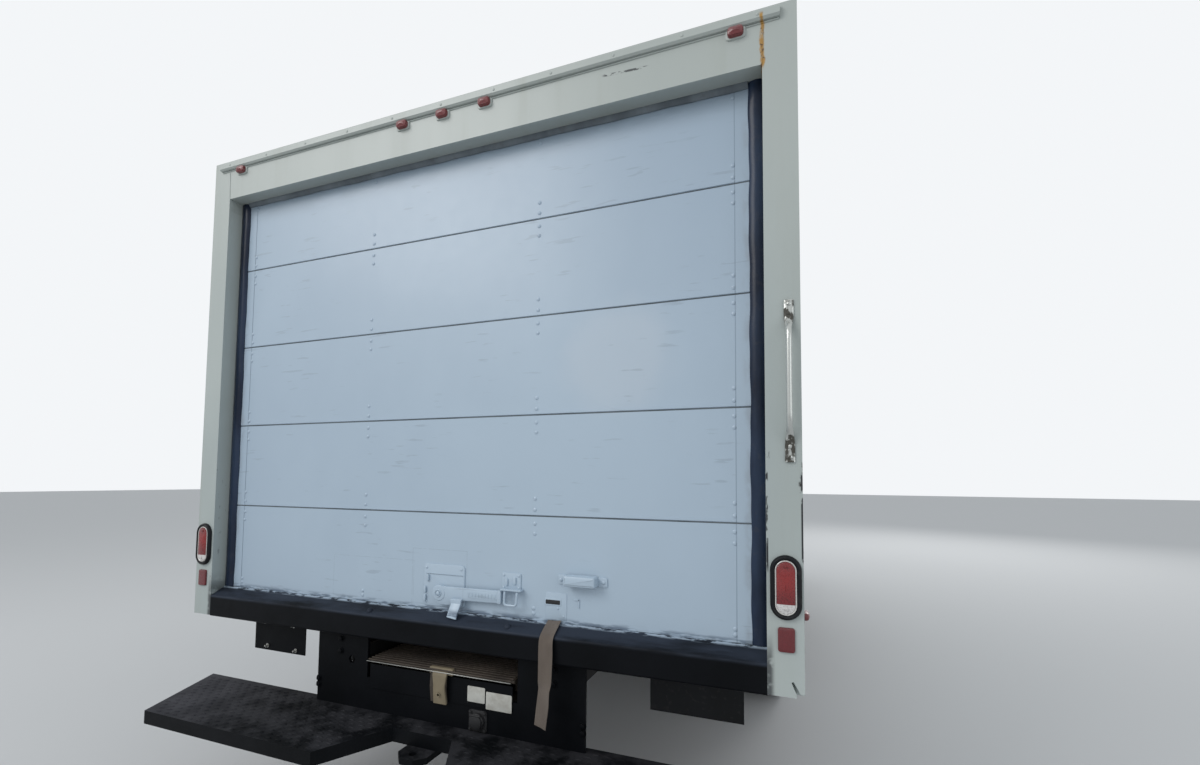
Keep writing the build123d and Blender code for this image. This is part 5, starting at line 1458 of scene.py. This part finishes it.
piece("ramp_tray", (tray + tray_sides, "frame_steel"), on=GROUND)

# %% [markdown]
# ## Landing on the cab
# The cab's skin is curved in every direction, so a strip or a handle can't be placed by typing heights.
# Instead a flat outline is cast onto the frame's own mesh, as light through a stencil: each point travels
# along one axis until it hits, and the hits are the path that the strip follows.

# %% Landing
FAR_AHEAD, BESIDE_CAB, CAST_START = 2000.0, 900.0, 1500
trees = {}
print("rays start", CAST_START, "mm before the outlines")


def landed(points, node, towards, lift=0.0):
    """Points in cab millimetres, cast along a direction onto a node, then lifted off it against the cast."""
    if node not in trees:
        mesh = nodes[node].data
        place = nodes[node].matrix_world
        trees[node] = BVHTree.FromPolygons([place @ v.co for v in mesh.vertices],
                                           [tuple(p.vertices) for p in mesh.polygons])
    towards = np.array(towards, float)
    hits = []
    for point in np.asarray(points, float):
        start = (point - towards * CAST_START) * MM + CAB
        spot_hit = trees[node].ray_cast(Vector(start), Vector(towards))[0]
        if spot_hit is not None:
            hits.append((np.array(spot_hit) - CAB) / MM - towards * lift)
    return np.array(hits)


def closed_strip(path, width, thickness, side):
    """Flat strip round a closed path, laid on the surface that the path lies on."""
    path = np.concatenate([path[-1:], path, path[:2]])
    ahead = unit(np.gradient(path, axis=0))
    across = unit(np.cross(ahead, np.array(side, float)))
    out = np.cross(across, ahead)
    section = rounded(width, thickness, thickness * 0.45, 3)
    rings = path[:, None] + across[:, None] * section[None, :, :1] + out[:, None] * section[None, :, 1:]
    return skin(rings[1:-1], ends=False)


def dense(outline, spacing=22):
    """Closed outline with a point at least every so many millimetres."""
    fine = []
    for start, end in zip(outline, np.roll(outline, -1, axis=0)):
        count = max(1, int(np.linalg.norm(end - start) // spacing))
        fine += [start + (end - start) * k / count for k in range(count)]
    return np.array(fine)


def front_view(outline):
    """(across, up) outline as points far ahead of the cab."""
    return upright_at(outline, FAR_AHEAD)


def side_view(outline):
    """(forward, up) outline as points beside the cab."""
    return beside_at(outline, BESIDE_CAB)

# %% [markdown]
# ## Glass surrounds and wipers
# Each pane sits in a black rubber section that bears half on glass and half on steel. The outlines are the
# panes' own, drawn in a bit so that every ray lands on glass. The wipers rest low on the windscreen: the
# blade follows the glass, and the arm is a flat bar from its pivot.

# %% Glass surrounds
pane = soft_outline([(-826, 1474), (826, 1474), (731, 1986), (-731, 1986)], 66, 6)
screen_path = landed(front_view(dense(pane)), "windscreen", (0, -1, 0), 1.0)
screen_seal = closed_strip(screen_path, 20, 7, (0, 1, 0.6))
side_pane = soft_outline([(359, 1334), (1049, 1334), (838, 1896), (359, 1896)], 48, 6)
side_path = landed(side_view(dense(side_pane)), "door_glass_right", (-1, 0, 0), 0.5)
side_seal = closed_strip(side_path, 18, 7, (1, 0, 0))
piece("windscreen_seal", (screen_seal, "rubber"), on=CAB)
for side in SIDES:
    piece("door_glass_seal_" + side, (on_side(side_seal, side), "rubber"), on=CAB, body="cab_door_" + side)


def wiper(x0, x1):
    """Blade, its spring holder, the arm and the pivot of a wiper whose blade runs from x0 to x1."""
    share = np.linspace(0, 1, 26)
    line = front_view(np.stack([x0 + (x1 - x0) * share, 1500 + 26 * np.sin(2.4 * share)], axis=-1))
    blade = carry(landed(line, "windscreen", (0, -1, 0), 9), flat_bar(9, 16), (0, 0, 1))
    holder = carry(landed(line[5:21], "windscreen", (0, -1, 0), 20), flat_bar(8, 7), (0, 0, 1))
    knee = landed([line[13]], "windscreen", (0, -1, 0), 24)[0]
    foot = np.array([x0 + 30, 1600, 1448])
    arm = carry(bent([foot, foot + (knee - foot) * 0.5 + (0, 14, 10), knee], 60), flat_bar(15, 6), (0, 0, 1))
    hub = lathe([(-22, 20), (6, 20), (12, 14), (12, 0)], "Z", 20).at(*foot)
    return blade + holder + arm + hub


def cowl_bar(y):
    """One bar of the air intake, cast down onto the cab in front of the windscreen."""
    line = [(x, y, 1000) for x in np.linspace(-690, 690, 40)]
    return carry(landed(line, "cab_shell", (0, 0, -1), 1.5), flat_bar(8, 5), (0, 1, 0))


wipers = wiper(-640, -60) + wiper(20, 600)
cowl_bars = joined(cowl_bar(y) for y in range(1588, 1668, 16))
piece("wipers_and_cowl", (wipers + cowl_bars, "dark_plastic"), on=CAB)
print("windscreen seal follows", len(screen_path), "hits")

# %% [markdown]
# ## Nose
# The headlamps are hollow: a clear cover that keeps the nose's curve, a chromed bowl behind it and a bulb
# in the bowl. The cover is a grid of hits with a wall behind it; the bowl is the same grid pushed back by
# a paraboloid, depth = d (1 - (r / R)^2).

# %% Headlamps
LAMP_HEIGHTS = (704, 956)


def lamp_grid(x0, x1, columns=26, rows=22):
    """Hits over the lamp's opening, rows from low to high."""
    xs, zs = np.linspace(x0, x1, columns), np.linspace(*LAMP_HEIGHTS, rows)
    points = np.array([(x, z) for z in zs for x in xs])
    return landed(front_view(points), "headlamps", (0, -1, 0)).reshape(rows, columns, 3)


def walled(grid, back):
    """Closed slab between a grid and another that lies behind it."""
    rows, columns = grid.shape[:2]
    both = np.concatenate([grid.reshape(-1, 3), back.reshape(-1, 3)])
    index = np.arange(rows * columns).reshape(rows, columns)
    faces = []
    for shift, order in ((0, 1), (rows * columns, -1)):
        quads = np.stack([index[:-1, :-1], index[:-1, 1:], index[1:, 1:], index[1:, :-1]], axis=-1)
        faces += [tuple(quad[::order]) for quad in (quads.reshape(-1, 4) + shift).tolist()]
    edge = np.concatenate([index[0], index[1:, -1], index[-1, -2::-1], index[-2:0:-1, 0]])
    for a, b in zip(edge, np.roll(edge, -1)):
        faces.append((int(b), int(a), int(a) + rows * columns, int(b) + rows * columns))
    return Form(both, faces)


clear_cover = lamp_grid(693, 897)
cover_slab = walled(clear_cover, clear_cover - (0, 3, 0))
BULB_X, BULB_Z, BOWL_RADIUS, BOWL_DEPTH = 785, 845, 92, 44
reach = np.hypot(clear_cover[..., 0] - BULB_X, clear_cover[..., 2] - BULB_Z)
bowl_depth = 12 + BOWL_DEPTH * np.clip(1 - (reach / BOWL_RADIUS) ** 2, 0, 1)
bowl_front = clear_cover.copy()
bowl_front[..., 1] -= bowl_depth
bowl = walled(bowl_front, bowl_front - (0, 3, 0))
amber_grid = lamp_grid(872, 896, 6, 22)
amber_cell = walled(amber_grid - (0, 5, 0), amber_grid - (0, 14, 0))
bulb = lathe([(0, 10), (12, 11), (24, 9), (30, 4), (31, 0)], "Y", 16).at(BULB_X, 2085, BULB_Z)
piece("headlamp_covers", (cover_slab.both(), "lens_clear"),
      (bowl.both(), "chrome"), (amber_cell.both(), "lens_amber"),
      (bulb.both(), "lens_pale"), on=CAB, instead_of="headlamps")

# %% [markdown]
# A dark strip runs round the grille and round each lamp. Behind the open grille stands the radiator with
# its fins, and two side plates close the way past it. The bumper gets its bolts, intake and rubber pad.

# %% Grille surround, radiator and bumper
def nose_frame(x0, x1):
    """Strip round one opening of the nose, cast onto the cab."""
    outline = dense(soft_outline([(x0, 690), (x1, 690), (x1, 970), (x0, 970)], 16, 4))
    return closed_strip(landed(front_view(outline), "cab_shell", (0, -1, 0), 1.5), 16, 9, (0, 1, 0))


surround = nose_frame(-672, 672) + nose_frame(682, 908).both()
radiator = brick(-430, 430, 2052, 2068, 600, 1010, 4)
baffles = (brick(432, 672, 2050, 2054, 520, 980, 2) + brick(-432, 432, 2046, 2050, 480, 606, 2)).both()
fins = brick(-420, 420, 2067, 2070, -1.2, 1.2, 0.6).repeated([(0, 0, z) for z in range(612, 1000, 9)])
piece("grille_surround", (surround, "dark_plastic"), (radiator + baffles + fins, "frame_steel"), on=CAB)

BUMPER_FACE = 2269.5
bumper_bolts = lathe([(0, 15), (-4, 15), (-9, 11), (-11, 4), (-11, 0)], "Y", 18).turned(180, "Z").repeated(
    [(x, BUMPER_FACE, z) for x in (-402, 402) for z in (492, 558)])
intake = pad(rounded(560, 46, 16), 3, 1.5).turned(180, "Z").at(0, BUMPER_FACE, 552)
slats = brick(-270, 270, 2272, 2276, -2, 2, 1).repeated([(0, 0, z) for z in (538, 552, 566)])
bumper_pad = brick(-490, 490, 2268, 2282, 482, 506, 5)
piece("bumper_details", (intake + slats + bumper_pad, "dark_plastic"), (bumper_bolts, "bare_steel"), on=CAB)

# %% [markdown]
# ## Doors and mirrors
# A door gets its pull handle in a scooped cup, a lock, a rubbing strip and, on the inside, a panel with an
# armrest, a pull and a window crank, since the door opens.

# %% Door furniture
def outward(form):
    """Turns a form that faces the rear to face out of the right side."""
    return form.turned(90, "Z")


cup = outward(pad(rounded(168, 62, 24, 6), 3, 1.4)).at(1011.6, 392, 1150)
pull = tube([(1012, 322, 1152), (1034, 334, 1152), (1040, 392, 1152), (1034, 450, 1152), (1012, 462, 1152)],
            8, 16, 12, (0, 0, 1))
lock = lathe([(0, 11), (3, 11), (4, 8), (4, 0)], "X", 20).at(1012, 400, 1092)
rub_line = side_view(np.array([(y, 930) for y in np.linspace(280, 1180, 46)]))
rub_strip = carry(landed(rub_line, "cab_door_right", (-1, 0, 0), 3), flat_bar(40, 10), (0, 0, 1))
trim_panel = pad(rounded(760, 520, 60, 6), 10, 4).turned(-90, "Z").at(952, 720, 980)
armrest = pad(rounded(330, 62, 26, 5), 52, 14, 4).turned(-90, "Z").at(943, 640, 1080)
crank = lathe([(0, 26), (-10, 26), (-14, 20), (-14, 0)], "X", 24).at(942, 860, 1030)
crank = crank + tube([(930, 860, 1030), (922, 820, 985), (912, 800, 962), (890, 800, 962)], 6, 12)
inner_pull = pad(rounded(90, 34, 12), 9, 3).turned(-90, "Z").at(943, 900, 1170)
speaker = lathe([(0, 78), (-6, 78), (-10, 70), (-8, 40), (-6, 0)], "X", 30).at(943, 960, 830)
inner_plate = trim_panel + armrest + inner_pull + speaker + crank
MIRROR_X, MIRROR_BACK = 1245, 1114.6
upper_glass = pad(rounded(158, 218, 22, 5), 3, 1.2).at(MIRROR_X, MIRROR_BACK, 1550)
lower_glass = pad(rounded(158, 84, 22, 5), 3, 1.2, 3, 4).at(MIRROR_X, MIRROR_BACK, 1386)
mirror_rim = around(rounded(176, 332, 30, 6), [(-6, 0), (-6, 5), (-2, 8), (2, 6), (3, 0)]).at(
    MIRROR_X, MIRROR_BACK, 1505)
mirror_foot = lathe([(0, 30), (4, 30), (10, 22), (14, 14), (14, 0)], "X", 18).repeated(
    [(956, 1080, 1271), (925, 1034, 1560)])
furniture = [(cup + lock + rub_strip, "dark_plastic"), (pull, "cab_paint"), (inner_plate, "interior"),
             (mirror_rim + mirror_foot, "dark_plastic"), (upper_glass + lower_glass, "mirror_face")]
for side in SIDES:
    piece("door_furniture_" + side, *[(on_side(form, side), finish) for form, finish in furniture], on=CAB,
          body="cab_door_" + side)

# %% [markdown]
# The wheel arch is an arc round the axle, (y + r cos a, z + r sin a). Cast onto the cab's side it carries
# the rubber lip, and at two radii it makes the walls of the liner inside.

# %% Front arches, side lamps and fuel flap
def arch(radius, steps):
    """(forward, up) arc over the front wheel."""
    angle = np.radians(np.linspace(14, 166, steps))
    return np.stack([CAB_AXLE_Y + radius * np.cos(angle), AXLE_Z + radius * np.sin(angle)], axis=-1)


RAIL_SIDE, LINER_INNER, LINER_OUTER = 521, 435.0, 439.0
arch_line = side_view(arch(449, 70))
arch_hits = landed(arch_line[arch_line[:, 2] > 500], "cab_shell", (-1, 0, 0), 2)
arch_lip = carry(arch_hits, flat_bar(20, 9), (0, 0.2, 1))
fuel_flap = outward(pad(rounded(150, 150, 18), 1.6, 0.8)).mirrored().at(-1012, 130, 1010)
side_lamp = outward(pad(rounded(70, 30, 8), 8, 3, 1))
lamp_place = landed([(BESIDE_CAB, 1960, 880)], "cab_shell", (-1, 0, 0))[0]
liner_line = arch(446, 44)
order = np.argsort(arch_hits[:, 1])
liner_reach = np.interp(liner_line[:, 0], arch_hits[order, 1], arch_hits[order, 0]) - 14


def liner_skin(radius):
    """Grid of the inner arch at a radius, from the rails out to the cab's side."""
    return np.array([beside_at(arch(radius, 44), RAIL_SIDE + (liner_reach - RAIL_SIDE) * share)
                     for share in np.linspace(0, 1, 9)])


liner = walled(liner_skin(LINER_INNER), liner_skin(LINER_OUTER))
liner = liner + pad(arch(436, 44), 3, 1).turned(90, "Z").at(RAIL_SIDE - 3, 0, 0)
piece("arch_liners", (liner.both(), "frame_steel"), on=CAB)
piece("arch_lips", (arch_lip.both(), "dark_plastic"),
      (side_lamp.at(*lamp_place).both(), "lens_amber"), (fuel_flap, "cab_paint"), on=CAB)
print("arch lip follows", len(arch_hits), "hits")

# %% [markdown]
# ## Cab interior
# Seen through the glass: a steering wheel with a padded centre, the binnacle with two blank dials, vents,
# radio and glovebox, pedals and a column lever. The wheel is drawn facing the rear, then leaned back to
# its column.

# %% Steering wheel and dash
LEAN = -math.degrees(math.atan2(65, 135))
DRIVER_X = -420


def on_column(form):
    """From the wheel's own plane to its place on the column."""
    return form.turned(LEAN, "X").at(DRIVER_X, 1015, 1222)


rim_angle = np.linspace(0, 2 * math.pi, 14, endpoint=False)
rim = lathe([(13 * math.cos(a), 185 + 13 * math.sin(a)) for a in rim_angle], "Y", 72, closed=True)
hub_pad = pad(rounded(170, 130, 44, 6), 30, 8, 8, 5).at(0, -6, -8)
hub_back = lathe([(18, 50), (-8, 56), (-10, 0)], "Y", 28)
spoke = carry(bent([(40, -2, 0), (110, -8, 0), (184, 0, 0)], 40), flat_bar(34, 12), (0, 0, 1))
spokes = joined(spoke.turned(-turn, "Y") for turn in (30, 150, 270))
piece("steering_wheel_fine", (on_column(rim + hub_pad + hub_back + spokes), "dark_plastic"), on=CAB,
      body="steering_wheel", instead_of="steering_wheel")

binnacle = pad(soft_outline([(-200, -62), (200, -62), (186, 40), (110, 78), (-110, 78), (-186, 40)], 40, 5),
               70, 14).at(DRIVER_X, 1192, 1306)
dial_plate = pad(rounded(330, 96, 30, 5), 4, 1).at(DRIVER_X, 1122, 1308)
DIAL_PLACES = [(DRIVER_X - 80, 1118, 1308), (DRIVER_X + 80, 1118, 1308)]
dials = lathe([(0, 42), (-5, 42), (-6, 38), (-3, 36), (-3, 0)], "Y", 36).repeated(DIAL_PLACES)
tick = brick(-0.8, 0.8, -4.5, -2.5, 27, 34, 0.4)
needle = brick(-1, 1, -6, -4, -6, 26, 0.4).turned(-118, "Y")
dial_marks = (joined(tick.turned(turn, "Y") for turn in range(-130, 131, 26)) + needle).repeated(DIAL_PLACES)
VENT_PLACES = [(-790, 1112, 1205), (-170, 1108, 1250), (170, 1108, 1250), (790, 1112, 1205)]
vents = pad(rounded(128, 62, 12), 8, 3).repeated(VENT_PLACES)
slat = brick(-54, 54, -10, -6, -1.5, 1.5, 0.7)
slats = slat.repeated([(x, y - 6, z + rise) for x, y, z in VENT_PLACES for rise in (-20, -10, 0, 10, 20)])
radio = pad(rounded(190, 62, 6), 10, 3).at(0, 1106, 1172)
knobs = lathe([(0, 14), (-14, 13), (-16, 10), (-16, 0)], "Y", 20).repeated(
    [(-76, 1097, 1172), (76, 1097, 1172), (-60, 1102, 1100), (0, 1102, 1100), (60, 1102, 1100)])
heater = pad(rounded(200, 50, 8), 6, 2).at(0, 1108, 1100)
glovebox = pad(rounded(420, 150, 18), 9, 4).at(520, 1111, 1120)
pedals = brick(-490, -390, 1284, 1296, 722, 790, 4) + brick(-330, -284, 1300, 1310, 690, 800, 4)
pedal_arms = (tube([(-440, 1298, 785), (-440, 1380, 960)], 7, 1)
              + tube([(-307, 1312, 780), (-307, 1386, 900)], 6, 1))
lever = tube([(-385, 1090, 1190), (-300, 1060, 1240), (-250, 1050, 1262)], 7, 20)
knob = lathe([(-16, 4), (-12, 13), (0, 16), (12, 13), (16, 4)], "X", 16).at(-244, 1049, 1264)
cup_rings = lathe([(0, 38), (8, 38), (8, 46), (0, 48)], "Z", 28, closed=True).repeated(
    [(-70, 900, 968), (70, 900, 968)])
piece("dash_details", (binnacle + vents + glovebox, "interior"),
      (dial_plate + dials + slats + radio + knobs + heater + pedals + pedal_arms + lever + knob
        + cup_rings, "dark_plastic"), (dial_marks, "lens_pale"), on=CAB)

# %% [markdown]
# The seats are padded, so they are blown up like a real cushion: the closed form is remeshed evenly, a
# cloth simulation with inner pressure swells it, every point's way is capped, and only the result is kept.
# The pull of the fabric rounds the corners in a way that a bevel can't.

# %% Padded seats
def signed_area(ring):
    """Area of a closed outline, positive when it runs anticlockwise."""
    following = np.roll(ring, -1, axis=0)
    return 0.5 * float((ring[:, 0] * following[:, 1] - following[:, 0] * ring[:, 1]).sum())


def settle(thing):
    """Keeps what the modifiers show now as the mesh itself."""
    graph = bpy.context.evaluated_depsgraph_get()
    result = bpy.data.meshes.new_from_object(thing.evaluated_get(graph))
    old = thing.data
    thing.modifiers.clear()
    thing.data = result
    bpy.data.meshes.remove(old)


CLOTH_STEPS = 14


def padded(name, outline, x0, x1, cap):
    """Cushion from a (forward, up) outline between two sides, swollen by a cloth simulation."""
    ring = soft_outline(outline, 34, 5)
    inwards = 1 if signed_area(ring) > 0 else -1
    edge = [(0, 16), (5, 5), (16, 0)]
    rows = [(x0 + way, cut) for way, cut in edge] + [(x1 - way, cut) for way, cut in edge[::-1]]
    form = skin([beside_at(inset(ring, inwards * cut), x) for x, cut in rows])
    thing = piece(name, (form, "seat_cloth"), on=CAB, crease=180)
    remesh = thing.modifiers.new("even", "REMESH")
    remesh.mode, remesh.voxel_size = "VOXEL", 0.011
    settle(thing)
    before = points_of(thing.data)
    cloth = thing.modifiers.new("fabric", "CLOTH")
    cloth.settings.use_pressure = True
    cloth.settings.uniform_pressure_force = 4.0
    cloth.settings.effector_weights.gravity = 0.0
    cloth.settings.quality = 5
    cloth.settings.bending_stiffness = 4.0
    for frame_number in range(1, CLOTH_STEPS + 1):
        scene.frame_set(frame_number)
    settle(thing)
    way = points_of(thing.data) - before
    length = np.maximum(np.linalg.norm(way, axis=1, keepdims=True), 1e-9)
    way *= np.minimum(1, cap * MM / length)
    thing.data.vertices.foreach_set("co", (before + way).ravel())
    relax = thing.modifiers.new("relax", "SMOOTH")
    relax.factor, relax.iterations = 0.5, 9
    settle(thing)
    thing.data.shade_smooth()
    scene.frame_set(1)
    return thing

# %% [markdown]
# Each seat has three padded parts. The right one is simulated and the left is its mirror image. A cord is
# sewn round each side of a part, and the base, the recliner and the belts are plain rigid forms.

# %% Seats and belts
SEAT_X = 440
SEAT_PARTS = {
    # part: (outline, half of its width, how far a point may swell)
    "cushion": ([(212, 878), (690, 878), (694, 985), (640, 1004), (212, 1004)], 222, 12),
    "back": ([(222, 1016), (336, 1016), (348, 1100), (268, 1592), (158, 1592)], 222, 12),
    "head_rest": ([(166, 1606), (236, 1606), (220, 1782), (156, 1782)], 112, 8),
}
seat_pieces = []
for part, (outline, half, cap_way) in SEAT_PARTS.items():
    thing = padded("seat_" + part + "_right", outline, SEAT_X - half, SEAT_X + half, cap_way)
    twin = thing.copy()
    twin.data = thing.data.copy()
    twin.name = "seat_" + part + "_left"
    twin.data.transform(Matrix.Diagonal((-1, 1, 1, 1)))
    twin.data.flip_normals()
    scene.collection.objects.link(twin)
    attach(twin, TRUCK)
    for one in (thing, twin):
        seat_pieces.append(one)


def piping(part, outline, x):
    """Cord sewn round a cushion's edge: the outline at x, pulled to the nearest points of the cushion."""
    cushion = bpy.data.objects["seat_" + part + "_right"]
    aims = beside_at(dense(soft_outline(outline, 34, 5), 16), x) * MM + CAB
    path = np.array([cushion.closest_point_on_mesh(Vector(aim))[1] for aim in aims])
    return closed_strip((path - CAB) / MM, 8, 8, (1, 0, 0))


pipings = joined(piping(part, outline, SEAT_X + sign * (half - 6))
                 for part, (outline, half, _) in SEAT_PARTS.items() for sign in (-1, 1))
piece("seat_piping", (pipings.both(), "dark_plastic"), on=CAB)
pedestal = brick(255, 625, 225, 625, 642, 866, 12) + brick(240, 640, 200, 660, 850, 872, 6)
slides = brick(270, 300, 210, 650, 641, 652, 3).repeated([(0, 0, 0), (310, 0, 0)])
stalks = tube([(395, 210, 1570), (395, 196, 1620)], 7, 1) + tube([(485, 210, 1570), (485, 196, 1620)], 7, 1)
recliner = lathe([(0, 30), (12, 30), (16, 22), (16, 0)], "X", 24).at(664, 300, 985)
buckle = brick(196, 214, 300, 320, 930, 1040, 4)
belt = carry(bent([(930, 130, 1640), (900, 128, 1300), (905, 130, 700)], 80), flat_bar(46, 1.6), (0, 1, 0))
piece("seat_bases", ((pedestal + slides + recliner + buckle).both(), "dark_plastic"),
      (stalks.both(), "bare_steel"), on=CAB, instead_of="seats")
piece("seat_belts", (belt.both(), "dark_plastic"), on=CAB)
print("seat pieces:", len(seat_pieces))
